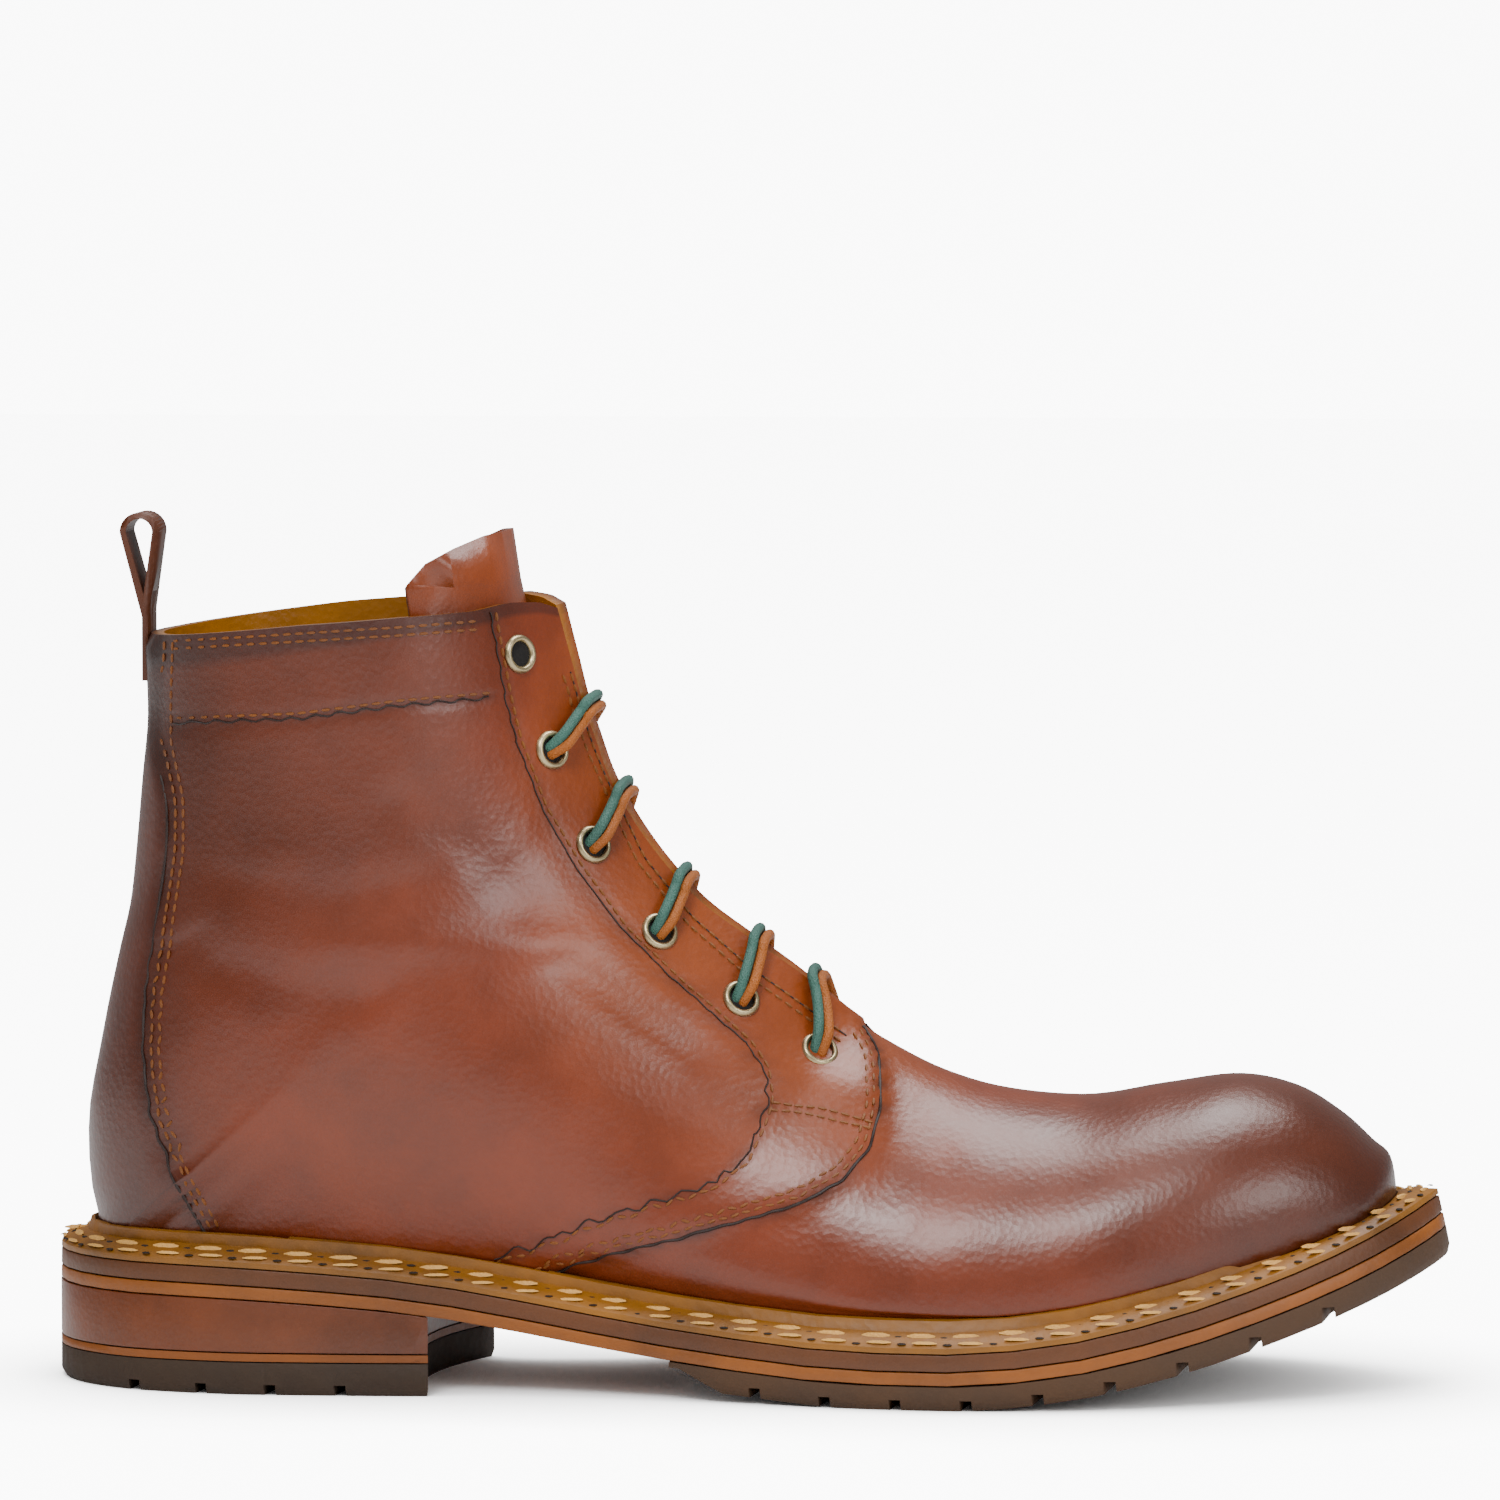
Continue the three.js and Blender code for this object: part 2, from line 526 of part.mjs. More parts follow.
// Leather laid over the wall at the feather edge: the quarters, and the backstay round the heel
function cover(turn) {
  const quarter = 1 - THREE.MathUtils.smoothstep(turn, 0.42, 0.50);
  const backstay = 1 - THREE.MathUtils.smoothstep(turn, 0.24, 0.32);
  return QUARTER_THICKNESS * quarter + (BACKSTAY_THICKNESS + GAP) * backstay;
}

function ridgePoint(row) {
  const x = HEEL_BACK + SOLE_LENGTH * section('reach', row);
  const rise = INSTEP_HEIGHT * section('instep', row) + (SHAFT_HEIGHT - INSTEP_HEIGHT) * section('shaft', row);
  return new THREE.Vector3(x, middleLine(x), seatHeight(x) + rise);
}

function backPoint(rise) {
  const start = HEEL_BACK + featherInset(0);
  const x = start + SOLE_LENGTH * along(BACK_SEAM, 'rise', 'lean', rise);
  return new THREE.Vector3(x, 0, seatHeight(start) - FOOT_TRIM + rise * SHAFT_HEIGHT);
}

const TURNS = UPPER_SECTIONS.map((row) => turnOf(row.sole));

function turnAt(row) {
  const from = Math.min(Math.floor(row), HEEL_CORNER_ROW - 1);
  const u = row - from;
  const value = (i) => (i > HEEL_CORNER_ROW ? -TURNS[2 * HEEL_CORNER_ROW - i] : TURNS[Math.max(i, 0)]);
  const [a, b, c, d] = [value(from - 1), value(from), value(from + 1), value(from + 2)];
  return THREE.MathUtils.clamp(b + 0.5 * u * (c - a + u * (2 * a - 5 * b + 4 * c - d + u * (3 * (b - c) + d - a))), 0, 1);
}

function footPoint(row, side) {
  if (row >= HEEL_CORNER_ROW) return backPoint(section('back', row));
  const turn = turnAt(row);
  const [x, y, z] = onStack(insetOutline(turn, side, featherInset(turn)), MIDSOLE_TOP - FOOT_TRIM);
  return new THREE.Vector3(x, y, z);
}

// Direction of the section where it meets the feather edge or the back seam, within an upright wall
function footRun(row, side, run) {
  const inward = new THREE.Vector3(0, -side, 0);
  if (row >= HEEL_CORNER_ROW) return inward;
  const step = 0.01;
  const turn = THREE.MathUtils.clamp(turnAt(row), step, 1 - step);
  const edge = insetOutline(turn + step, side, WELT_WIDTH).sub(insetOutline(turn - step, side, WELT_WIDTH));
  const steep = THREE.MathUtils.clamp(run.x * edge.y / Math.max(edge.x, 1e-3), -50, 50);
  return new THREE.Vector3(run.x, steep, run.z).normalize();
}

function bezier(a, b, c, d, u) {
  const v = 1 - u;
  return a.clone().multiplyScalar(v * v * v).addScaledVector(b, 3 * v * v * u)
    .addScaledVector(c, 3 * v * u * u).addScaledVector(d, u * u * u);
}

function skin(side, row, t) {
  const ridge = ridgePoint(row);
  const foot = footPoint(row, side);
  const out = new THREE.Vector3(0, side, 0);
  const run = new THREE.Vector3(foot.x - ridge.x, 0, foot.z - ridge.z);
  const length = run.length();
  run.normalize();
  const half = BALL_WIDTH * section(side < 0 ? 'lateral' : 'medial', row);
  const belly = section('belly', row);
  const start = ridge.clone().addScaledVector(out, Math.max(0, section('gap', row)) * THROAT_GAP / 2);
  const widest = ridge.clone().addScaledVector(run, belly * length);
  widest.y = middleLine(widest.x) + side * half;
  const peak = THREE.MathUtils.degToRad(section('peak', row));
  const crown = section('crown', row) * half;
  const end = section('foot', row) * half;
  if (t < 0.5) {
    const first = start.clone().addScaledVector(run, crown * Math.cos(peak)).addScaledVector(out, crown * Math.sin(peak));
    const second = widest.clone().addScaledVector(run, -0.52 * belly * length);
    return bezier(start, first, second, widest, 2 * t);
  }
  const first = widest.clone().addScaledVector(run, 0.5 * (1 - belly) * length);
  const second = foot.clone().addScaledVector(footRun(row, side, run), -end);
  return bezier(widest, first, second, foot, 2 * t - 1);
}

// Outward normal of the skin
function skinNormal(side, row, t) {
  if (row < 0.05) return new THREE.Vector3(1, 0, 0.1).normalize();
  const step = 0.02;
  const rowA = Math.max(row - step * 4, 0.02);
  const rowB = Math.min(row + step * 4, row < HEEL_CORNER_ROW ? HEEL_CORNER_ROW : LAST_ROW);
  const across = skin(side, rowB, t).sub(skin(side, Math.max(rowA, row < HEEL_CORNER_ROW ? 0 : HEEL_CORNER_ROW), t));
  const down = skin(side, row, Math.min(t + step, 1)).sub(skin(side, row, Math.max(t - step, 0)));
  const normal = new THREE.Vector3().crossVectors(down, across).multiplyScalar(side);
  const onRidge = t < 1e-6 && row <= THROAT_ROW;
  const onBack = t > 1 - 1e-6 && row >= HEEL_CORNER_ROW;
  if (onRidge || onBack) normal.y = 0;
  return normal.normalize();
}

function shellPoint(side, row, t, offset) {
  return skin(side, row, t).addScaledVector(skinNormal(side, row, t), offset);
}

// A wall between two offsets of the skin, over some rows and a stretch of t, on both sides
function shell(rows, ts, inner, outer, closedRidge = THROAT_ROW) {
  const points = [];
  const faces = [];
  const at = new Map();
  const vertex = (side, i, j, layer) => {
    const row = rows[i];
    const t = ts[j];
    const shared = row < 0.01 || (t < 1e-6 && row <= closedRidge) || (t > 1 - 1e-6 && row >= HEEL_CORNER_ROW);
    const column = row < 0.01 ? 0 : j;
    const key = `${shared ? 0 : side} ${i} ${column} ${layer}`;
    if (!at.has(key)) {
      at.set(key, points.length);
      points.push(shellPoint(side, row, t, layer ? outer : inner).toArray());
    }
    return at.get(key);
  };
  const quad = (a, b, c, d) => faces.push([a, b, c], [a, c, d]);
  for (const side of [-1, 1]) {
    const face = (a, b, c, d) => (side < 0 ? quad(a, b, c, d) : quad(a, d, c, b));
    for (let i = 0; i + 1 < rows.length; i += 1) {
      for (let j = 0; j + 1 < ts.length; j += 1) {
        for (const layer of [0, 1]) {
          const corners = [[i, j], [i + 1, j], [i + 1, j + 1], [i, j + 1]].map(([a, b]) => vertex(side, a, b, layer));
          if (layer) face(...corners);
          else face(...corners.reverse());
        }
      }
      const open = (j, isShared) => {
        if (isShared(rows[i]) && isShared(rows[i + 1])) return;
        const [a, b] = [vertex(side, i, j, 0), vertex(side, i + 1, j, 0)];
        const [c, d] = [vertex(side, i + 1, j, 1), vertex(side, i, j, 1)];
        if (j === 0) face(a, b, c, d);
        else face(d, c, b, a);
      };
      open(0, (row) => ts[0] < 1e-6 && row <= closedRidge);
      open(ts.length - 1, (row) => ts[ts.length - 1] > 1 - 1e-6 && row >= HEEL_CORNER_ROW);
    }
    for (let j = 0; j + 1 < ts.length; j += 1) {
      const end = rows.length - 1;
      face(vertex(side, end, j, 0), vertex(side, end, j + 1, 0), vertex(side, end, j + 1, 1), vertex(side, end, j, 1));
      if (rows[0] > 0.01) {
        face(vertex(side, 0, j, 1), vertex(side, 0, j + 1, 1), vertex(side, 0, j + 1, 0), vertex(side, 0, j, 0));
      }
    }
  }
  const real = faces.filter(([a, b, c]) => a !== b && b !== c && c !== a);
  return toSolid(toGeometry(points, real));
}

function steps(from, to, count) {
  return Array.from({ length: count + 1 }, (_, k) => from + (to - from) * k / count);
}
const rowsFrom = (first) => [0, 0.3, 0.7, 1, 1.5, 2, 2.5, 3, 4, 5, 6, 7, 8, 9, 10, 10.5, 11, 11.4, 12, 13,
  14, 15, 15.6, 16.2, 16.6, 17, 17.7, 18.5, 20, 21, 22].filter((row) => row >= first);
const T_STEPS = [0, 0.1, 0.22, 0.36, 0.5, 0.62, 0.74, 0.87, 1];

// Side views of the cuts: stations along the sole and heights above the ground as shares of the collar's height
const COLLAR_HEIGHT = HEEL_HEIGHT + SHAFT_HEIGHT;
const sideView = (rows) => rows.map(({ station, height }) => (
  [HEEL_BACK + SOLE_LENGTH * station, COLLAR_HEIGHT * height]));

const COLLAR_LINE = sideView([
  { station: -0.050, height: 0.944 },
  { station: 0.081, height: 0.958 },
  { station: 0.193, height: 0.981 },
  { station: 0.264, height: 0.991 },
  { station: 0.312, height: 0.995 },
  { station: 0.331, height: 1.002 },
  { station: 0.350, height: 1.000 },
  { station: 0.362, height: 0.991 },
  { station: 0.371, height: 0.972 },
  { station: 0.379, height: 0.938 },
]);
const FAR_RIM_LIFT = 0.019;

function collarCutter() {
  const last = COLLAR_LINE[COLLAR_LINE.length - 1];
  const corners = [...COLLAR_LINE, [FAR, last[1]], [FAR, FAR], [COLLAR_LINE[0][0], FAR]];
  const place = new THREE.Matrix4().makeTranslation(0, 0, COLLAR_HEIGHT)
    .multiply(new THREE.Matrix4().makeRotationX(FAR_RIM_LIFT))
    .multiply(new THREE.Matrix4().makeTranslation(0, 0, -COLLAR_HEIGHT))
    .multiply(sideways(FAR / 2));
  return prism(corners, FAR, place);
}

// Front edge of the quarters, from the throat down and back to the feather edge
const QUARTER_EDGE = sideView([
  { station: 0.582, height: 0.600 },
  { station: 0.582, height: 0.456 },
  { station: 0.597, height: 0.428 },
  { station: 0.603, height: 0.368 },
  { station: 0.598, height: 0.322 },
  { station: 0.581, height: 0.287 },
  { station: 0.550, height: 0.256 },
  { station: 0.507, height: 0.233 },
  { station: 0.464, height: 0.212 },
  { station: 0.413, height: 0.188 },
  { station: 0.373, height: 0.164 },
  { station: 0.335, height: 0.125 },
  { station: 0.310, height: 0.070 },
  { station: 0.295, height: 0.000 },
]);

function quarterPrism() {
  const back = HEEL_BACK - BALL_WIDTH;
  return prism([...QUARTER_EDGE, [back, 0], [back, FAR], [QUARTER_EDGE[0][0], FAR]], FAR, sideways(FAR / 2));
}

// Eyelets: where each sits on the skin, and the row where its laces cross the throat
const EYELETS = [
  { row: 20.64, t: 0.136, cross: 21.19 },
  { row: 18.36, t: 0.116, cross: 18.86 },
  { row: 16.20, t: 0.112, cross: 16.70 },
  { row: 14.12, t: 0.124, cross: 14.62 },
  { row: 12.36, t: 0.148, cross: 12.91 },
  { row: 11.06, t: 0.152, cross: 11.81 },
];

function onSkin(side, { row, t }, offset) {
  const point = skin(side, row, t);
  const normal = skinNormal(side, row, t);
  const turn = new THREE.Quaternion().setFromUnitVectors(new THREE.Vector3(0, 1, 0), normal);
  return { position: point.addScaledVector(normal, offset), quaternion: turn, normal };
}

function eyeletHole(side, eyelet) {
  const geometry = new THREE.CylinderGeometry(EYELET_BARREL / 2 + GAP, EYELET_BARREL / 2 + GAP, 12, 10);
  const { position, quaternion } = onSkin(side, eyelet, 0);
  geometry.applyQuaternion(quaternion);
  geometry.translate(position.x, position.y, position.z);
  return toSolid(geometry);
}

function eyelet() {
  const hole = EYELET_HOLE / 2;
  const barrel = EYELET_BARREL / 2;
  const outer = EYELET_DIAMETER / 2;
  const top = QUARTER_THICKNESS + GAP;
  const profile = [[hole, -WALL], [barrel, -WALL], [barrel, top], [outer, top],
    [outer - 0.4, top + EYELET_LIP * 0.8], [(outer + hole) / 2, top + EYELET_LIP], [hole, top + EYELET_LIP * 0.4],
    [hole, -WALL]].map(([r, h]) => new THREE.Vector2(r, h));
  return fromSolid(toSolid(new THREE.LatheGeometry(profile, 8)));
}

// Laces: each bar lies over the facings from one eyelet to its partner
function laceBar(place, shift) {
  const lift = QUARTER_THICKNESS + GAP + EYELET_LIP + GAP + LACE_DIAMETER / 2;
  const points = [];
  const shares = [1, 0.66, 0.33, 0];
  for (const side of [-1, 1]) {
    const leg = shares.map((share) => {
      const row = THREE.MathUtils.lerp(place.cross, place.row, share);
      const point = shellPoint(side, row, place.t * share + 0.01, lift);
      const along2 = skin(side, row + 0.3, place.t * share).sub(skin(side, row - 0.3, place.t * share)).normalize();
      return point.addScaledVector(along2, shift);
    });
    if (side < 0) points.push(...leg);
    else points.push(...leg.reverse());
  }
  const curve = new THREE.CatmullRomCurve3(points, false, 'centripetal');
  const ring = new THREE.Shape();
  const sides = 6;
  for (let k = 0; k < sides; k += 1) {
    const angle = 2 * Math.PI * k / sides;
    const [u, v] = [Math.cos(angle) * LACE_DIAMETER / 2, Math.sin(angle) * LACE_DIAMETER / 2];
    if (k) ring.lineTo(u, v);
    else ring.moveTo(u, v);
  }
  return fromSolid(toSolid(new THREE.ExtrudeGeometry(ring, { steps: 7, bevelEnabled: false, extrudePath: curve })));
}

// Upper: the vamp and lining wall, with the quarters laid over it as a step
function upper() {
  let solid = shell(rowsFrom(0), T_STEPS, -WALL, 0);
  const quarters = shell(rowsFrom(9), T_STEPS, -WALL * QUARTER_ROOT, QUARTER_THICKNESS).intersect(quarterPrism());
  solid = solid.add(quarters).subtract(collarCutter()).subtract(seatCutter(MIDSOLE_TOP + GAP));
  for (const place of EYELETS) {
    for (const side of [-1, 1]) solid = solid.subtract(eyeletHole(side, place));
  }
  return fromSolid(mainBody(solid));
}

// The space of the quarters and a gap over them, kept clear by what lies on them
const quarterRoom = (first) => shell(rowsFrom(first), T_STEPS, -WALL, QUARTER_THICKNESS + GAP / 2);

// Backstay: a strip over the back seam that widens into the counter
const BACKSTAY_EDGE = sideView([
  { station: 0.118, height: 0.000 },
  { station: 0.118, height: 0.186 },
  { station: 0.095, height: 0.260 },
  { station: 0.079, height: 0.336 },
  { station: 0.073, height: 0.413 },
  { station: 0.075, height: 0.490 },
  { station: 0.083, height: 0.580 },
  { station: 0.092, height: 0.683 },
  { station: 0.092, height: 0.747 },
  { station: 0.084, height: 0.823 },
  { station: 0.085, height: 0.893 },
]);
const BACKSTAY_TOP = BACKSTAY_EDGE[BACKSTAY_EDGE.length - 1][1];

const BACKSTAY_ROWS = [14.2, 15, 15.6, 16.2, 16.6, 17, 17.7, 18.5, 19.3, 20, 21, 22];
const BACKSTAY_STEPS = [0.62, 0.74, 0.81, 0.87, 0.94, 1];
const BACKSTAY_OFFSET = QUARTER_THICKNESS + GAP;

function backstay() {
  const back = HEEL_BACK - BALL_WIDTH;
  const cut = prism([[back, 0], ...BACKSTAY_EDGE, [back, BACKSTAY_TOP]], FAR, sideways(FAR / 2));
  const solid = shell(BACKSTAY_ROWS, BACKSTAY_STEPS, BACKSTAY_OFFSET, BACKSTAY_OFFSET + BACKSTAY_THICKNESS);
  return fromSolid(mainBody(solid.intersect(cut).subtract(seatCutter(MIDSOLE_TOP + GAP)).subtract(quarterRoom(13))));
}

// Pull loop: a strip folded into an open drop above the back seam, its tail down over the seam
function pullLoop() {
  const seam = backPoint(0.9).x - QUARTER_THICKNESS - GAP;
  const foot = BACKSTAY_TOP + GAP;
  const neck = COLLAR_HEIGHT * 0.985;
  const radius = LOOP_HEIGHT * 0.2;
  const top = neck + LOOP_HEIGHT - radius;
  const middle = seam - LOOP_THICKNESS - 0.6;
  const shape = new THREE.Shape();
  shape.moveTo(seam, foot);
  shape.lineTo(seam, neck);
  shape.lineTo(middle + radius, top);
  shape.absarc(middle, top, radius, 0, Math.PI, false);
  shape.lineTo(seam - LOOP_THICKNESS, neck - 1.5);
  shape.lineTo(seam - LOOP_THICKNESS, foot);
  shape.closePath();
  const inner = radius - LOOP_THICKNESS;
  const hole = new THREE.Path();
  hole.moveTo(seam - LOOP_THICKNESS / 2 - 0.3, neck + 3.4);
  hole.lineTo(middle + inner, top);
  hole.absarc(middle, top, inner, 0, Math.PI, false);
  hole.closePath();
  shape.holes.push(hole);
  const geometry = new THREE.ExtrudeGeometry(shape, { depth: LOOP_WIDTH, bevelEnabled: false, curveSegments: 8 });
  return fromSolid(mainBody(toSolid(geometry.applyMatrix4(sideways(LOOP_WIDTH / 2))).subtract(quarterRoom(17))));
}

// Tongue: follows the inside of the facings, bridges the throat and stands above the collar
const TONGUE_ROWS = [10, 10.5, 11, 12, 13, 14, 15.6, 17, 18.5, 20, 21, 22, 23];
const TONGUE_BRIDGE = 0.2;
const TONGUE_TOP = sideView([
  { station: 0.244, height: 0.930 },
  { station: 0.257, height: 1.005 },
  { station: 0.267, height: 1.027 },
  { station: 0.279, height: 1.053 },
  { station: 0.297, height: 1.071 },
  { station: 0.315, height: 1.085 },
  { station: 0.335, height: 1.091 },
  { station: 0.400, height: 1.093 },
]);

function tonguePoint(row, share, offset) {
  const wide = THREE.MathUtils.smoothstep(row, 10, 21);
  const from = THREE.MathUtils.lerp(0.10, 0.13, wide);
  const to = THREE.MathUtils.lerp(0.20, 0.36, wide);
  const side = share < 0 ? -1 : 1;
  const bridge = 0.4;
  const reach = Math.abs(share);
  if (reach >= bridge) return shellPoint(side, row, from + (to - from) * (reach - bridge) / (1 - bridge), offset);
  const ends = [-1, 1].map((end) => {
    const point = shellPoint(end, row, from, offset);
    const lead = skin(end, row, from - 0.02).sub(skin(end, row, from)).normalize();
    return { point, lead };
  });
  const width = ends[0].point.distanceTo(ends[1].point);
  const handles = ends.map(({ point, lead }) => point.clone().addScaledVector(lead, TONGUE_BRIDGE * width));
  return bezier(ends[0].point, handles[0], handles[1], ends[1].point, (share + bridge) / (2 * bridge));
}

function tongue() {
  const outer = -WALL - 2 * GAP;
  const shares = [-1, -0.7, -0.4, -0.2, 0, 0.2, 0.4, 0.7, 1];
  const rings = TONGUE_ROWS.map((row) => [
    ...shares.map((share) => tonguePoint(row, share, outer).toArray()),
    ...[...shares].reverse().map((share) => tonguePoint(row, share, outer - TONGUE_THICKNESS).toArray()),
  ]);
  const { points, faces } = ringLoft(rings);
  const count = rings[0].length;
  for (const base of [0, (rings.length - 1) * count]) {
    for (let j = 0; j < shares.length - 1; j += 1) {
      const [a, b, c, d] = [base + j, base + j + 1, base + count - 1 - j, base + count - 2 - j];
      faces.push(base ? [a, b, c] : [a, c, b]);
      faces.push(base ? [b, d, c] : [b, c, d]);
    }
  }
  const first = TONGUE_TOP[0];
  const last = TONGUE_TOP[TONGUE_TOP.length - 1];
  const above = prism([...TONGUE_TOP, [last[0], FAR], [first[0] - FAR, FAR], [first[0] - FAR, first[1]]], FAR, sideways(FAR / 2));
  const wall = shell(rowsFrom(7), T_STEPS, -WALL - GAP, QUARTER_THICKNESS);
  return fromSolid(mainBody(toSolid(toGeometry(points, faces)).subtract(above).subtract(wall)));
}

// Insole: fills the seat inside the wall
function insole() {
  return soleLayer((turn) => {
    const inset = featherInset(turn) + WALL + INSOLE_ROOM;
    return [[inset, MIDSOLE_TOP + GAP], [inset, MIDSOLE_TOP + GAP + INSOLE_THICKNESS]];
  });
}

const boot = new THREE.Group();

function add(name, geometry, colour, roughness, metalness = 0) {
  const material = new THREE.MeshStandardMaterial({ color: colour, roughness, metalness });
  const mesh = new THREE.Mesh(geometry, material);
  mesh.name = name;
  boot.add(mesh);
  return mesh;
}

add('top_lift', topLift(), '#35281f', 0.8);
add('heel_thin_lift', thinLift(), '#7e3c20', 0.55);
add('heel_block', heelBlock(), '#6a2c12', 0.45);
add('outsole_forepart', outsoleForepart(), '#4e3a2c', 0.8);
add('leather_sole', leatherSole(), '#a0522a', 0.5);
add('midsole', midsole(), '#5c3428', 0.5);
add('storm_welt', stormWelt(), '#a0601c', 0.5);
add('insole', insole(), '#c89860', 0.6);
add('upper', upper(), '#8a3214', 0.35);
add('tongue', tongue(), '#a9512c', 0.4);
add('backstay', backstay(), '#5e3a26', 0.4);
add('pull_loop', pullLoop(), '#8a4426', 0.45);

const ring = eyelet();
const sideNames = new Map([[-1, 'outer'], [1, 'inner']]);
EYELETS.forEach((place, k) => {
  for (const [side, name] of sideNames) {
    const mesh = add(`eyelet_${name}_${k + 1}`, ring, '#b09a60', 0.35, 1);
    const { position, quaternion } = onSkin(side, place, 0);
    mesh.position.copy(position);
    mesh.quaternion.copy(quaternion);
  }
  if (k > 0) {
    const spacing = (LACE_DIAMETER + GAP) / 2;
    add(`lace_green_${k + 1}`, laceBar(place, spacing), '#3f5f58', 0.7);
    add(`lace_brown_${k + 1}`, laceBar(place, -spacing), '#b5603e', 0.7);
  }
});

const bounds = new THREE.Box3().setFromObject(boot);
boot.position.set(-(bounds.min.x + bounds.max.x) / 2, -(bounds.min.y + bounds.max.y) / 2, -bounds.min.z);

export default boot;
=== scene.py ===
# Right lace-up ankle boot of burnished brown leather on a welted leather sole with rubber treads, seen
# from its outer side. The upper is made again on a fine grid, and the sole keeps the frame's solids.
import bpy
import bmesh
import math
from mathutils import Matrix, Vector


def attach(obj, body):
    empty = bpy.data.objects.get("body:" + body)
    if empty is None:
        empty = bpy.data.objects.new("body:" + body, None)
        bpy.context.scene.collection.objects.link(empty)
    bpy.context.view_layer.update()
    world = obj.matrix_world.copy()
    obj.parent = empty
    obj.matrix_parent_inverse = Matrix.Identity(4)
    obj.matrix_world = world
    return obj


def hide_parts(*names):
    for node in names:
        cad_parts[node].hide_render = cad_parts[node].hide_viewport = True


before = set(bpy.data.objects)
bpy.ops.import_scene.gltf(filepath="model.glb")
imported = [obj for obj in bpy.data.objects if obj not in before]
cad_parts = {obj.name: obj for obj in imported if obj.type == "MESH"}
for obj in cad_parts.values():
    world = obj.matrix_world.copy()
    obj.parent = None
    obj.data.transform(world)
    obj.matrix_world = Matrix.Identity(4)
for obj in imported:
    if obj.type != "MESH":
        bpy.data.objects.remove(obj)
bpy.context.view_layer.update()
bpy.ops.object.select_all(action="DESELECT")

MM = 0.001
SHIFT = Vector((-0.43, -7.48, 0.0))


def place(p):
    return (Vector(p) + SHIFT) * MM


# Camera: on the boot's outer side, a little above it and turned toward the toe
YAW = math.radians(5.8)
AIM = Vector((0.35, 0.0, 142.65))
DISTANCE = 2000.0
FOCAL = 8900.0
PITCH = math.atan((289.6 - AIM.z) / DISTANCE)
ahead = Vector((-math.sin(YAW) * math.cos(PITCH), math.cos(YAW) * math.cos(PITCH), -math.sin(PITCH)))
right = Vector((math.cos(YAW), math.sin(YAW), 0.0))
above = right.cross(ahead)
reach = DISTANCE / math.cos(PITCH)
eye = AIM - ahead * reach
focal = FOCAL * reach / DISTANCE
camera_data = bpy.data.cameras.new("camera")
camera_data.sensor_width = 36
camera_data.lens = 36 * focal / 1500
camera = bpy.data.objects.new("camera", camera_data)
bpy.context.collection.objects.link(camera)
turn = Matrix((right, above, -ahead)).transposed().to_4x4()
camera.matrix_world = Matrix.Translation(place(eye)) @ turn
bpy.context.scene.camera = camera


def pixel(p):
    d = Vector(p) - eye
    depth = d.dot(ahead)
    return 750 + focal * d.dot(right) / depth, 750 - focal * d.dot(above) / depth


# Materials: leather, thread, brass and rubber all have broad blotches in tone and gloss and a fine grain
# that catches the light. The grain is drawn a little coarser than the real one, so that it shows
def tone(text):
    value = [int(text[k:k + 2], 16) / 255 for k in (1, 3, 5)]
    return [v / 12.92 if v <= 0.04045 else ((v + 0.055) / 1.055) ** 2.4 for v in value] + [1.0]


def add_node(tree, kind, settings=(), links=()):
    node = tree.nodes.new(kind)
    for key, value in dict(settings).items():
        if hasattr(node, key) and key not in node.inputs:
            setattr(node, key, value)
        else:
            node.inputs[key].default_value = value
    for socket, source in dict(links).items():
        tree.links.new(source, node.inputs[socket])
    return node


def surface(name, colour, rough=0.5, grain=900.0, bump=0.15, mottle=0.25, metal=0.0, coat=0.0, patina_and_painted_light=False,
            depth=0.45, rich=1.4):
    material = bpy.data.materials.new(name)
    material.use_nodes = True
    tree = material.node_tree
    shader = tree.nodes["Principled BSDF"]
    where = add_node(tree, "ShaderNodeTexCoord").outputs["Object"]
    broad = add_node(tree, "ShaderNodeTexNoise", {"Scale": 38.0, "Detail": 5.0, "Roughness": 0.6},
                     {"Vector": where})
    fine = add_node(tree, "ShaderNodeTexNoise", {"Scale": grain, "Detail": 4.0}, {"Vector": where})
    cells = add_node(tree, "ShaderNodeTexVoronoi", {"Scale": grain * 0.9}, {"Vector": where})
    spread = add_node(tree, "ShaderNodeMapRange",
                      {"From Min": 0.3, "From Max": 0.7, "To Min": depth * (1 - mottle),
                       "To Max": depth * (1 + mottle * 0.7)}, {"Value": broad.outputs["Fac"]})
    hue = add_node(tree, "ShaderNodeHueSaturation", {"Saturation": rich, "Color": tone(colour)},
                   {"Value": spread.outputs["Result"]})
    if patina_and_painted_light:
        base = add_node(tree, "ShaderNodeAttribute", {"attribute_name": "patina_and_painted_light"})
        tree.links.new(base.outputs["Color"], hue.inputs["Color"])
    tree.links.new(hue.outputs["Color"], shader.inputs["Base Color"])
    gloss = add_node(tree, "ShaderNodeMapRange", {"To Min": rough - 0.1, "To Max": rough + 0.12},
                     {"Value": broad.outputs["Fac"]})
    tree.links.new(gloss.outputs["Result"], shader.inputs["Roughness"])
    mixed = add_node(tree, "ShaderNodeMath", {"operation": "ADD"})
    tree.links.new(fine.outputs["Fac"], mixed.inputs[0])
    tree.links.new(cells.outputs["Distance"], mixed.inputs[1])
    relief = add_node(tree, "ShaderNodeBump", {"Strength": bump, "Distance": 0.0004},
                      {"Height": mixed.outputs[0]})
    tree.links.new(relief.outputs["Normal"], shader.inputs["Normal"])
    shader.inputs["Metallic"].default_value = metal
    shader.inputs["Coat Weight"].default_value = coat
    shader.inputs["Coat Roughness"].default_value = 0.25
    return material


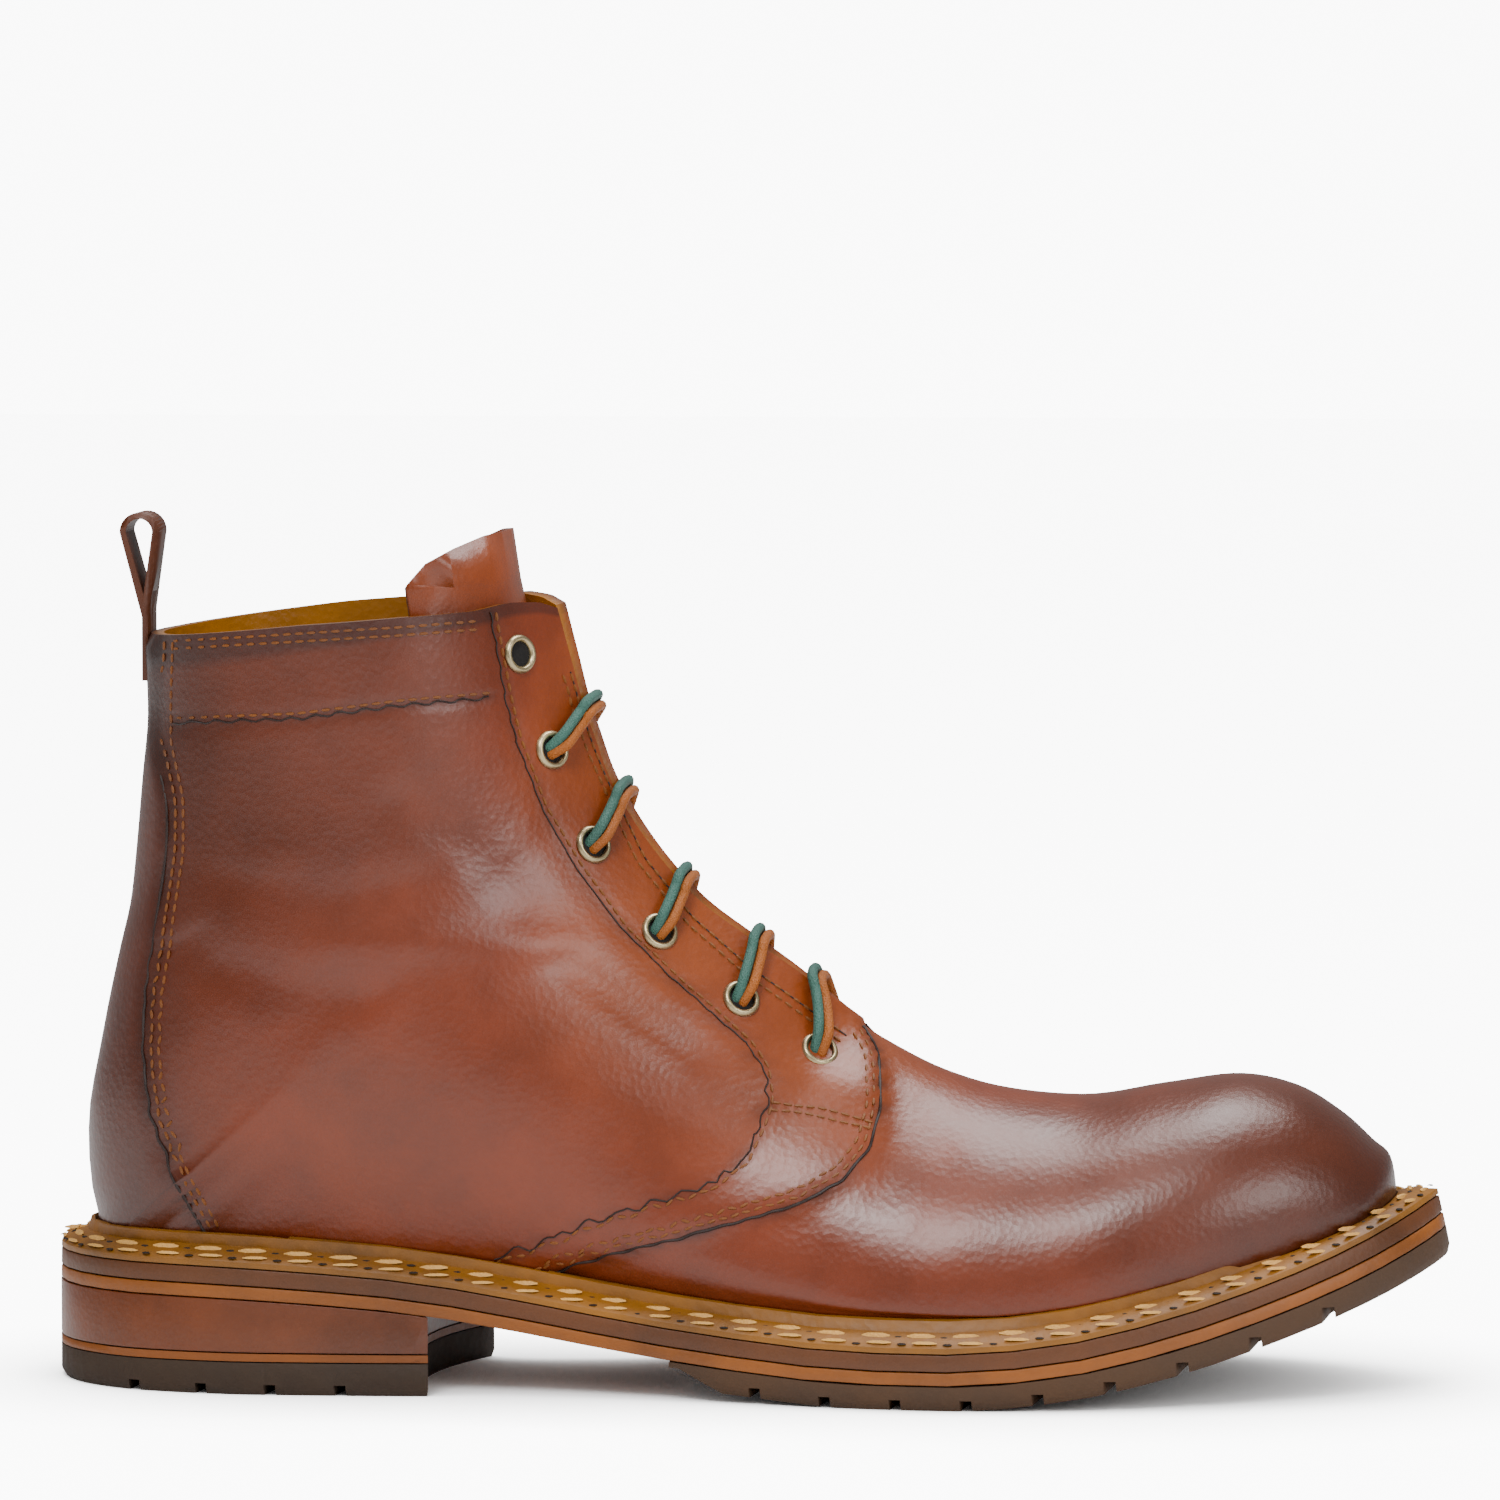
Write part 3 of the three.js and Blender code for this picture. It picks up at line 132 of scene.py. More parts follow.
def mesh_piece(name, points, faces, material, node=None, angle=60):
    mesh = bpy.data.meshes.new(name)
    mesh.from_pydata([place(p) for p in points], [], faces)
    bm = bmesh.new()
    bm.from_mesh(mesh)
    bmesh.ops.recalc_face_normals(bm, faces=bm.faces)
    bm.to_mesh(mesh)
    bm.free()
    mesh.materials.append(material)
    piece = bpy.data.objects.new(name, mesh)
    bpy.context.collection.objects.link(piece)
    bpy.context.view_layer.objects.active = piece
    piece.select_set(True)
    bpy.ops.object.shade_smooth_by_angle(angle=math.radians(angle))
    piece.select_set(False)
    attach(piece, "root")
    if node:
        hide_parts(*node)
    return piece


# The last, the wooden form that the boot is pulled over: the same tables as the part's source, with the
# sole's rise, its outline, the back seam, and the rows of curves that run from the ridge to the welt
LENGTH, BALL, HEEL, SPRING, SWING = 313.4, 106.0, 22.3, 30.5, 9.0
INSTEP, SHAFT, TREAD, SEAT = 70.0, 154.0, 5.8, 7.1
UPPER_INSET, GAP, TUCK, WALL = 8.3, 0.3, 1.5, 1.6
HEEL_BACK = -LENGTH / 2
COLLAR = HEEL + SHAFT
PROFILE = [(0, 1, 0), (.12, .97, 0), (.25, .82, 0), (.35, .52, 0), (.44, .242, 0), (.52, .085, 0),
           (.59, 0, 0), (.66, 0, 0), (.73, 0, .066), (.80, 0, .216), (.87, 0, .436), (.94, 0, .708),
           (1, 0, 1)]
OUTLINE = [(0, 0, 0, 0), (.03, .205, .205, 0), (.08, .295, .295, 0), (.16, .335, .335, 0),
           (.25, .33, .328, .03), (.33, .315, .29, .11), (.42, .345, .3, .28), (.5, .405, .36, .45),
           (.58, .465, .44, .61), (.66, .495, .495, .73), (.74, .486, .505, .82), (.82, .44, .462, .89),
           (.9, .352, .37, .95), (.96, .235, .242, .99), (1, 0, 0, 1)]
SEAM = [(0, 0), (.06, 0), (.1, -.0048), (.15, -.0068), (.19, -.007), (.24, -.004), (.3, .0018),
        (.37, .0085), (.45, .0172), (.52, .0251), (.6, .0295), (.7, .034), (.8, .0383), (.88, .037),
        (1, .0348)]
# reach, instep, shaft, sole, back, gap, peak, lateral, medial, belly, crown, foot
ROWS = [
    (0.966, 0, 0, 1, 0, 0, 90, 0, 0, 0.7, 0.6, 0.2),
    (0.961, 0.189, 0, 0.977, 0, 0, 90, 0.15, 0.154, 0.72, 0.6, 0.2),
    (0.947, 0.284, 0, 0.945, 0, 0, 90, 0.222, 0.23, 0.73, 0.6, 0.2),
    (0.925, 0.413, 0, 0.912, 0, 0, 90, 0.274, 0.288, 0.75, 0.6, 0.2),
    (0.893, 0.552, 0, 0.866, 0, 0, 90, 0.33, 0.35, 0.77, 0.58, 0.2),
    (0.851, 0.652, 0, 0.812, 0, 0, 90, 0.378, 0.4, 0.79, 0.56, 0.26),
    (0.8, 0.689, 0, 0.752, 0, 0, 90, 0.413, 0.433, 0.8, 0.52, 0.34),
    (0.745, 0.704, 0, 0.686, 0, 0, 90, 0.426, 0.438, 0.8, 0.48, 0.34),
    (0.69, 0.752, 0, 0.618, 0, 0, 90, 0.424, 0.424, 0.79, 0.42, 0.34),
    (0.639, 0.822, 0, 0.549, 0, 0, 90, 0.398, 0.38, 0.77, 0.36, 0.34),
    (0.598, 0.917, 0, 0.478, 0, 0, 85, 0.364, 0.34, 0.74, 0.34, 0.34),
    (0.573, 0.99, 0, 0.407, 0, 0, 66, 0.332, 0.314, 0.7, 0.38, 0.34),
    (0.534, 1, 0.095, 0.326, 0, 0.38, 54, 0.318, 0.308, 0.63, 0.42, 0.34),
    (0.5, 1, 0.175, 0.246, 0, 0.53, 51, 0.322, 0.314, 0.57, 0.45, 0.34),
    (0.466, 1, 0.256, 0.163, 0, 0.61, 50, 0.334, 0.33, 0.53, 0.46, 0.36),
    (0.439, 1, 0.351, 0.078, 0, 0.66, 50, 0.343, 0.339, 0.5, 0.46, 0.4),
    (0.417, 1, 0.452, 0.025, 0, 0.7, 50, 0.348, 0.345, 0.48, 0.46, 0.45),
    (0.399, 1, 0.56, 0, 0, 0.73, 50, 0.35, 0.348, 0.47, 0.46, 0.6),
    (0.388, 1, 0.665, 0, 0.2, 0.76, 50, 0.348, 0.348, 0.47, 0.46, 0.6),
    (0.379, 1, 0.762, 0, 0.395, 0.82, 49, 0.344, 0.344, 0.47, 0.46, 0.6),
    (0.372, 1, 0.86, 0, 0.59, 0.88, 48, 0.344, 0.344, 0.47, 0.46, 0.6),
    (0.365, 1, 0.956, 0, 0.771, 0.94, 48, 0.348, 0.348, 0.48, 0.46, 0.6),
    (0.357, 1, 1.07, 0, 0.974, 1, 48, 0.352, 0.352, 0.48, 0.46, 0.6),
    (0.35, 1, 1.22, 0, 1.14, 1.05, 48, 0.354, 0.354, 0.48, 0.46, 0.6),
]
THROAT_ROW, CORNER = 11, 17


def along(table, column, at):
    last = len(table) - 1
    at = min(max(at, table[0][0]), table[last][0])
    row = 0
    while row < last - 1 and at > table[row + 1][0]:
        row += 1

    def slope(i):
        return (table[i + 1][column] - table[i][column]) / (table[i + 1][0] - table[i][0])

    def tangent(i):
        if i == 0:
            return slope(0)
        if i == last:
            return slope(last - 1)
        a, b = slope(i - 1), slope(i)
        return 0 if a * b <= 0 else 2 * a * b / (a + b)
    span = table[row + 1][0] - table[row][0]
    u = (at - table[row][0]) / span
    start, end = table[row][column], table[row + 1][column]
    rise, fall = tangent(row) * span, tangent(row + 1) * span
    gain = end - start
    return start + u * rise + u * u * (3 * gain - 2 * rise - fall) + u ** 3 * (rise + fall - 2 * gain)


def spline(value, row, top):
    i = min(int(row), top - 1)
    u = row - i
    a, b, c, d = (value(i - 1), value(i), value(i + 1), value(i + 2))
    return b + 0.5 * u * (c - a + u * (2 * a - 5 * b + 4 * c - d + u * (3 * (b - c) + d - a)))


def section(column, row):
    top = len(ROWS) - 1
    return spline(lambda i: ROWS[min(max(i, 0), top)][column], row, top)


def sole_height(x):
    s = (x - HEEL_BACK) / LENGTH
    return TREAD + (HEEL - TREAD) * along(PROFILE, 1, s) + SPRING * along(PROFILE, 2, s)


def middle(x):
    return SWING * along(OUTLINE, 3, (x - HEEL_BACK) / LENGTH)


def turn_of(s):
    return math.acos(1 - 2 * s) / math.pi


BY_TURN = [(turn_of(r[0]), r[1], r[2]) for r in OUTLINE]


def outline(t, side):
    x = HEEL_BACK + LENGTH * (1 - math.cos(math.pi * t)) / 2
    return Vector((x, middle(x) + side * BALL * along(BY_TURN, 1 if side < 0 else 2, t)))


def inset_outline(t, side, inset):
    step = 0.004
    here = outline(t, side)
    if t < step:
        return Vector((here.x + inset, 0.0))
    if t > 1 - step:
        return Vector((here.x - inset, here.y))
    run = (outline(t + step, side) - outline(t - step, side)).normalized()
    return here + Vector((run.y, -run.x)) * side * inset


def on_stack(flat, rise):
    tilt = math.atan((sole_height(flat.x + 1) - sole_height(flat.x - 1)) / 2)
    return Vector((flat.x - rise * math.sin(tilt), flat.y, sole_height(flat.x) + rise * math.cos(tilt)))


def smooth(x, a, b):
    u = min(max((x - a) / (b - a), 0), 1)
    return u * u * (3 - 2 * u)


def feather(t):
    fore = smooth(t, .24, .32)
    return UPPER_INSET + GAP + 0.6 * fore + 1.2 * (1 - smooth(t, .42, .5)) + 1.5 * (1 - fore)


TURNS = [turn_of(r[3]) for r in ROWS]


def foot_turn(row):
    return spline(lambda i: -TURNS[2 * CORNER - i] if i > CORNER else TURNS[max(i, 0)], row, CORNER)


def foot_point(row, side):
    if row >= CORNER:
        start = HEEL_BACK + feather(0)
        rise = section(4, row)
        return Vector((start + LENGTH * along(SEAM, 1, rise), 0,
                       sole_height(start) + SEAT - TUCK + rise * SHAFT))
    t = min(max(foot_turn(row), 0), 1)
    return on_stack(inset_outline(t, side, feather(t)), SEAT - TUCK)


def foot_run(row, side, run):
    if row >= CORNER:
        return Vector((0, -side, 0))
    t = min(max(foot_turn(row), 0.01), 0.99)
    edge = inset_outline(t + 0.01, side, UPPER_INSET) - inset_outline(t - 0.01, side, UPPER_INSET)
    steep = min(max(run.x * edge.y / max(edge.x, 1e-3), -50), 50)
    return Vector((run.x, steep, run.z)).normalized()


def row_frame(row, side):
    x = HEEL_BACK + LENGTH * section(0, row)
    height = sole_height(x) + SEAT + INSTEP * section(1, row) + (SHAFT - INSTEP) * section(2, row)
    ridge = Vector((x, middle(x), height))
    foot = foot_point(row, side)
    run = Vector((foot.x - ridge.x, 0, foot.z - ridge.z))
    length = run.length
    run.normalize()
    half = BALL * section(7 if side < 0 else 8, row)
    belly = section(9, row)
    out = Vector((0, side, 0))
    start = ridge + out * max(0, section(5, row)) * 7.5
    widest = ridge + run * belly * length
    widest.y = middle(widest.x) + side * half
    peak = math.radians(section(6, row))
    crown = section(10, row) * half
    first = [start, start + run * crown * math.cos(peak) + out * crown * math.sin(peak),
             widest - run * 0.52 * belly * length, widest]
    second = [widest, widest + run * 0.5 * (1 - belly) * length,
              foot - foot_run(row, side, run) * section(11, row) * half, foot]
    return first, second


def skin(side, row, t):
    first, second = row_frame(row, side)
    a, b, c, d = first if t < 0.5 else second
    u = 2 * t if t < 0.5 else 2 * t - 1
    v = 1 - u
    return a * v ** 3 + b * 3 * v * v * u + c * 3 * v * u * u + d * u ** 3


# Upper: one hollow skin of dyed calf leather, its quarters laid over the vamp and sewn down, cut level at
# the collar, with the counter cover raised at the back. It is pulled over the last and into the welt
def side_view(rows):
    return [(HEEL_BACK + LENGTH * s, COLLAR * h) for s, h in rows]


COLLAR_LINE = side_view([(-.05, .944), (.081, .958), (.193, .981), (.264, .991), (.312, .995), (.331, 1.002),
                         (.35, 1), (.362, .991), (.371, .972), (.379, .938)])


def collar_at(x):
    for (x0, z0), (x1, z1) in zip(COLLAR_LINE, COLLAR_LINE[1:]):
        if x <= x1:
            return z0 + (z1 - z0) * max(x - x0, 0) / (x1 - x0)
    return COLLAR_LINE[-1][1]


def row_top(side, t):
    low, high = 19.5, 23.0
    for _ in range(14):
        row = (low + high) / 2
        p = skin(side, row, t)
        if p.z < collar_at(p.x) + 0.019 * p.y:
            low = row
        else:
            high = row
    return low


ROW_COUNT, T_COUNT = 132, 48
FIXED = 19.0
T_VALUES = [j / T_COUNT for j in range(T_COUNT + 1)]
SPLIT = 104
grid = {}
for side in (-1, 1):
    tops = [row_top(side, t) for t in T_VALUES]
    for i in range(ROW_COUNT + 1):
        for j, t in enumerate(T_VALUES):
            if i <= SPLIT:
                row = FIXED * (i / SPLIT)
            else:
                row = FIXED + (tops[j] - FIXED) * (i - SPLIT) / (ROW_COUNT - SPLIT)
            grid[side, i, j] = skin(side, max(row, 0.02), t)
CORNER_LINE = round(SPLIT * CORNER / FIXED)


def grid_normal(side, i, j):
    if i < CORNER_LINE:
        i0, i1 = max(i - 1, 0), min(i + 1, CORNER_LINE)
    else:
        i0, i1 = max(i - 1, CORNER_LINE), min(i + 1, ROW_COUNT)
    a = grid[side, i1, j] - grid[side, i0, j]
    d = grid[side, i, min(j + 1, T_COUNT)] - grid[side, i, max(j - 1, 0)]
    n = d.cross(a) * side
    if (j == 0 and i <= SPLIT * THROAT_ROW / FIXED) or (j == T_COUNT and i >= CORNER_LINE):
        n.y = 0
    return n.normalized() if n.length > 1e-9 else Vector((1, 0, 0))


normals = {key: grid_normal(*key) for key in grid}
seen = {(i, j): pixel(grid[-1, i, j]) for i in range(ROW_COUNT + 1) for j in range(T_COUNT + 1)}


def to_line(p, line):
    best = 1e9
    for (ax, ay), (bx, by) in zip(line, line[1:]):
        dx, dy = bx - ax, by - ay
        u = min(max(((p[0] - ax) * dx + (p[1] - ay) * dy) / (dx * dx + dy * dy), 0), 1)
        best = min(best, math.hypot(p[0] - ax - u * dx, p[1] - ay - u * dy))
    return best


def inside(p, polygon):
    hit = False
    for (ax, ay), (bx, by) in zip(polygon, polygon[1:] + polygon[:1]):
        if (ay > p[1]) != (by > p[1]) and p[0] < ax + (bx - ax) * (p[1] - ay) / (by - ay):
            hit = not hit
    return hit


# Seams, in the picture's own units on the outer side, and mirrored to the inner side
QUARTER = [(862, 1028), (878, 1055), (880, 1110), (870, 1150), (845, 1180), (800, 1205), (740, 1222),
           (680, 1237), (610, 1253), (555, 1270), (500, 1300)]
EYESTAY = [(487, 612), (497, 665), (503, 700), (515, 745), (540, 810), (575, 870), (620, 930),
           (665, 975), (705, 1010), (745, 1045), (763, 1075), (767, 1105), (745, 1160), (710, 1185),
           (650, 1203), (600, 1217), (560, 1233), (490, 1258)]
BAND = [(178, 723), (300, 718), (400, 705), (490, 698)]
COUNTER = [(165, 640), (163, 740), (175, 800), (175, 850), (163, 930), (152, 1000), (150, 1060),
           (158, 1120), (180, 1180), (213, 1238)]
THROAT = [(566, 672), (576, 705), (592, 752), (640, 858), (690, 920), (745, 968), (800, 1008),
          (845, 1040)]
BAR = [(768, 1107), (820, 1115), (878, 1130)]
counter_area = COUNTER + [(213, 1500), (-300, 1500), (-300, 640)]
quarter_area = QUARTER + [(500, 1500), (-200, 1500), (-200, 300), (862, 300)]
# Soft troughs (negative) and ridges, each a line with a depth in mm and a width in the picture's units
FOLDS = [
    ([(210, 965), (290, 985), (370, 1000)], -1.1, 15), ([(330, 947), (450, 942), (560, 950)], 0.9, 17),
    ([(165, 955), (205, 935)], -0.8, 9), ([(560, 960), (630, 1010), (700, 1060)], -0.9, 14),
    ([(250, 1008), (320, 1022)], -0.4, 6), ([(262, 1034), (330, 1040)], -0.35, 5),
    ([(770, 1070), (860, 1090)], 0.7, 22), ([(800, 1240), (870, 1290)], -0.4, 6),
    ([(895, 1085), (905, 1150), (880, 1200)], -0.5, 9), ([(920, 1105), (950, 1170), (930, 1240)], -0.4, 10),
    ([(400, 800), (470, 850), (520, 900)], -0.5, 18), ([(230, 880), (330, 900), (430, 880)], -0.5, 16),
    ([(590, 1090), (660, 1120), (720, 1130)], 0.4, 16),
]
SEAM_LINES = [EYESTAY, BAND]
QUARTER_STEP, COUNTER_STEP = 1.2, 1.5
# Hand burnish over the russet dye: dark wax brushed on at the toe, counter and collar, and rubbed through
# again over the facings. The lighter rubbed zones at the front of the quarter and on the heel side are also
# a painted highlight, where the broad light falls on them. Each zone has its middle, how far it goes to
# waxed (-1) or rubbed (1), its spread
WAXED, DYED, RUBBED_AND_HIGHLIT = [tone(text)[:3] for text in ("#52291a", "#923e1d", "#b8643c")]
BURNISH_AND_HIGHLIGHT = [
    (110, 1130, -0.9, 75), (130, 980, -0.8, 75), (160, 1220, -0.9, 70), (175, 740, -0.9, 80),
    (260, 860, -0.6, 100), (340, 680, -0.4, 90), (310, 1120, 0.2, 100), (430, 1160, 0.0, 110),
    (480, 940, -0.1, 110), (480, 740, -0.2, 60), (570, 760, 0.8, 60), (640, 960, 0.9, 70),
    (620, 1140, 0.0, 110), (760, 1120, 0.3, 85), (830, 1080, 1.0, 60), (750, 1290, -0.2, 75),
    (950, 1140, 0.0, 90), (1000, 1280, -0.2, 80), (1190, 1160, -0.4, 100), (1360, 1190, -1.0, 110),
]


def burnish_and_highlight_at(p):
    total, shade = 1e-6, 0.0
    for x, y, share, spread in BURNISH_AND_HIGHLIGHT:
        w = math.exp(-((p[0] - x) ** 2 + (p[1] - y) ** 2) / (2 * spread * spread)) + 1e-5
        total += w
        shade += w * share
    shade /= total
    end = RUBBED_AND_HIGHLIT if shade > 0 else WAXED
    return [c + (e - c) * abs(shade) for c, e in zip(DYED, end)]


offsets, colours = {}, {}
for (i, j), p in seen.items():
    lift = 0.0
    for line, depth, width in FOLDS:
        d = to_line(p, line)
        if d < 3 * width:
            lift += depth * math.exp(-(d / width) ** 2)
    for line in SEAM_LINES:
        lift -= 0.35 * math.exp(-(to_line(p, line) / 5.0) ** 2)
    edge = to_line(p, QUARTER)
    within = inside(p, quarter_area)
    signed = edge if within else -edge
    step = smooth(signed, -4, 4)
    counter = to_line(p, COUNTER) * (1 if inside(p, counter_area) else -1)
    offsets[i, j] = lift + QUARTER_STEP * step + COUNTER_STEP * smooth(counter, -3, 3)
    shade = burnish_and_highlight_at(p)
    # Painted shade: darker in a band beside the quarter's edge, most on the vamp side below the step, and along the
    # wavy seams and the counter's edge. The top rows at the collar are darker for its dyed cut edge
    dark = 1 - 0.55 * math.exp(-(edge / 5) ** 2) if not within else 1 - 0.25 * math.exp(-(edge / 5) ** 2)
    dark *= 1 - 0.3 * min(1, sum(math.exp(-(to_line(p, line) / 5) ** 2) for line in SEAM_LINES))
    dark *= 1 - 0.5 * math.exp(-(counter / 6) ** 2)
    if i > ROW_COUNT - 3:
        dark *= 0.5
    colours[i, j] = [c * dark for c in shade]

points, faces, shades, index = [], [], [], {}
LINING = tone("#c98a4c")[:3]
THROAT_LINE = round(SPLIT * THROAT_ROW / FIXED)
for (side, i, j), p in grid.items():
    closed = (j == 0 and i <= THROAT_LINE) or (j == T_COUNT and i >= CORNER_LINE) or i == 0
    for layer in (0, 1):
        key = (0 if closed else side, i, 0 if i == 0 else j, layer)
        if key not in index:
            index[key] = len(points)
            q = p.copy()
            if closed and i != 0 and j == 0:
                q.y = middle(p.x)
            points.append(q + normals[side, i, j] * (offsets[i, j] if layer else -WALL))
            shades.append(colours[i, j] if layer else LINING)
        index[side, i, j, layer] = index[key]


def vert(side, i, j, layer):
    return index[side, i, j, layer]


for side in (-1, 1):
    for i in range(ROW_COUNT):
        for j in range(T_COUNT):
            for layer in (0, 1):
                loop = [vert(side, i, j, layer), vert(side, i + 1, j, layer), vert(side, i + 1, j + 1, layer),
                        vert(side, i, j + 1, layer)]
                loop = list(dict.fromkeys(loop))
                if len(loop) > 2:
                    faces.append(loop)
        for j, closed in ((0, i < THROAT_LINE), (T_COUNT, i >= CORNER_LINE)):
            if not closed:
                loop = list(dict.fromkeys([vert(side, i, j, 0), vert(side, i + 1, j, 0), vert(side, i + 1, j, 1),
                                           vert(side, i, j, 1)]))
                if len(loop) > 2:
                    faces.append(loop)
    for j in range(T_COUNT):
        faces.append([vert(side, ROW_COUNT, j, 0), vert(side, ROW_COUNT, j + 1, 0), vert(side, ROW_COUNT, j + 1, 1),
                      vert(side, ROW_COUNT, j, 1)])

leather = surface("upper_leather", "#8a3214", rough=0.36, grain=700, bump=0.16, mottle=0.26, coat=0.15, patina_and_painted_light=True,
                  depth=0.5, rich=1.55)
upper = mesh_piece("upper_skin", points, faces, leather, ["upper", "backstay"], angle=50)
# Per-point colour: burnish and the dyed collar edge, with painted highlight and painted shade in it
layer_data = upper.data.color_attributes.new("patina_and_painted_light", "FLOAT_COLOR", "POINT")
for k, shade in enumerate(shades):
    layer_data.data[k].color = (*shade, 1.0)


# A place on the outer skin from a place in the picture, and on the inner skin by the same grid cell
FRONT = [(i, j) for i in range(ROW_COUNT + 1) for j in range(T_COUNT + 1) if normals[-1, i, j].dot(ahead) < 0.25]


def on_skin(p, side, lift):
    near = sorted(FRONT, key=lambda c: (seen[c][0] - p[0]) ** 2 + (seen[c][1] - p[1]) ** 2)[:9]
    total, where, normal = 0, Vector((0, 0, 0)), Vector((0, 0, 0))
    for c in near:
        w = math.exp(-((seen[c][0] - p[0]) ** 2 + (seen[c][1] - p[1]) ** 2) / 60) + 1e-4
        total += w
        n = normals[(side, *c)]
        where += (grid[(side, *c)] + n * offsets[c]) * w
        normal += n * w
    normal.normalize()
    return where / total + normal * lift, normal


def resample(line, pitch):
    out, left = [], 0.0
    for (ax, ay), (bx, by) in zip(line, line[1:]):
        length = math.hypot(bx - ax, by - ay)
        at = left
        while at < length:
            out.append((ax + (bx - ax) * at / length, ay + (by - ay) * at / length))
            at += pitch
        left = at - length
    return out


def shifted(line, away):
    out = []
    for k, (x, y) in enumerate(line):
        (ax, ay), (bx, by) = line[max(k - 1, 0)], line[min(k + 1, len(line) - 1)]
        n = math.hypot(bx - ax, by - ay)
        out.append((x - (by - ay) / n * away, y + (bx - ax) / n * away))
    return out


def capsule(centre, run, normal, length, width, height, points, faces):
    run = (run - normal * run.dot(normal)).normalized()
    across = normal.cross(run)
    base = len(points)
    for u, grow in ((-0.5, 0.35), (-0.25, 1), (0.25, 1), (0.5, 0.35)):
        for a, b in ((-1, -0.3), (-0.6, 0.7), (0.6, 0.7), (1, -0.3)):
            points.append(centre + run * u * length + across * a * grow * width / 2 + normal * b * grow * height)
    for k in range(3):
        for m in range(3):
            o = base + 4 * k + m
            faces.append([o, o + 1, o + 5, o + 4])


def tube(path, radius, sides, points, faces):
    base = len(points)
    for k, p in enumerate(path):
        run = (path[min(k + 1, len(path) - 1)] - path[max(k - 1, 0)]).normalized()
        u = run.orthogonal().normalized() if k == 0 else (last - run * last.dot(run)).normalized()
        last = u
        v = run.cross(u)
        for m in range(sides):
            a = 2 * math.pi * m / sides
            points.append(p + u * math.cos(a) * radius + v * math.sin(a) * radius)
    for k in range(len(path) - 1):
        for m in range(sides):
            n = (m + 1) % sides
            low = base + k * sides
            faces.append([low + m, low + n, low + sides + n, low + sides + m])
    faces.append([base + m for m in range(sides)])
    faces.append([base + (len(path) - 1) * sides + m for m in range(sides)])


# Seam stitches: waxed linen thread in short lock stitches, in two rows where the real seams are double,
# each stitch pulled a little into the leather
stitch_points, stitch_faces = [], []
PIXELS_PER_MM = 4.45
double = [(QUARTER, 7), (QUARTER, 14), (EYESTAY, -5), (BAND, -5), (THROAT, 0), (THROAT, 8), (COUNTER, -6),
          (COUNTER, -13), (BAR, -3), (BAR, 4)]
rim = [(175, 641), (300, 633), (400, 627), (485, 621)]
double += [(rim, 0), (rim, 8)]
for line, away in double:
    places = resample(shifted(line, away), 2.7 * PIXELS_PER_MM)
    for side in (-1, 1):
        spots = [on_skin(p, side, 0.1) for p in places]
        for k in range(len(spots) - 1):
            run = spots[k + 1][0] - spots[k][0]
            if 0.5 < run.length < 6:
                centre = (spots[k][0] + spots[k + 1][0]) / 2
                capsule(centre, run, spots[k][1], 2.0, 0.7, 0.35, stitch_points, stitch_faces)
thread = surface("seam_thread", "#7a4a28", rough=0.6, grain=2000, bump=0.2, depth=0.8)
mesh_piece("seam_stitches", stitch_points, stitch_faces, thread)

# Painted shadow: dark lines along the cut edges of the leather that lies on top, where the quarter, the
# counter and the facing step down; and the dark wavy seams of the facing and the collar band
edge_points, edge_faces = [], []
for line, radius, wave in ((QUARTER, 0.36, 0), (COUNTER, 0.36, 0), (EYESTAY, 0.2, 1.6), (BAND, 0.2, 1.5),
                           (THROAT, 0.2, 0)):
    for side in (-1, 1):
        path = []
        for k, p in enumerate(resample(line, 5.0)):
            away = wave * math.sin(k * 1.3)
            path.append(on_skin((p[0] + away * 0.7, p[1] + away), side, 0.05)[0])
        if not wave:
            for _ in range(3):
                path = [path[0]] + [(a + b * 2 + c) / 4 for a, b, c in zip(path, path[1:], path[2:])] + [path[-1]]
        tube(path, radius, 6, edge_points, edge_faces)
edge = surface("edge_shadow_and_seam_lines", "#2e140b", rough=0.6, grain=1500)
mesh_piece("seam_and_edge_shadows", edge_points, edge_faces, edge)

# Welt stitches: fat cream thread along the top of the welt, a thinner row on its bevel, and between the
# stitches dark marks of painted shade for the awl holes
cream_points, cream_faces, awl_shade_points, awl_shade_faces = [], [], [], []
ring = []
COUNT = 700
for k in range(COUNT):
    u = 2 * k / COUNT
    ring.append((min(u, 2 - u), -1 if u < 1 else 1))
WELT_ROWS = ((3.5, 10.15, 10.2, 6.3, 1.5, 0.0), (0.85, 9.0, 10.2, 5.5, 1.0, 5.1))
for inset, rise, pitch, length, width, start in WELT_ROWS:
    path = [on_stack(inset_outline(t, side, inset), rise + 0.35) for t, side in ring]
    path.append(path[0])
    at, travelled = start, 0.0
    for a, b in zip(path, path[1:]):
        span = (b - a).length
        while span > 0 and at < travelled + span:
            centre = a + (b - a) * (at - travelled) / span
            capsule(centre, b - a, Vector((0, 0, 1)), length, width, width * 0.55, cream_points, cream_faces)
            hole = centre + (b - a).normalized() * pitch / 2
            capsule(hole - Vector((0, 0, 0.25)), b - a, Vector((0, 0, 1)), 2.0, 1.2, 0.3, awl_shade_points, awl_shade_faces)
            at += pitch
        travelled += span
cream = surface("welt_thread", "#d9a868", rough=0.6, grain=1800, bump=0.4, depth=0.9, rich=1.1)
mesh_piece("welt_stitches", cream_points, cream_faces, cream)
# Painted shade for the awl holes between the welt stitches
dark = surface("awl_hole_shade", "#2a1c12", rough=0.8)
mesh_piece("welt_awl_shade", awl_shade_points, awl_shade_faces, dark)


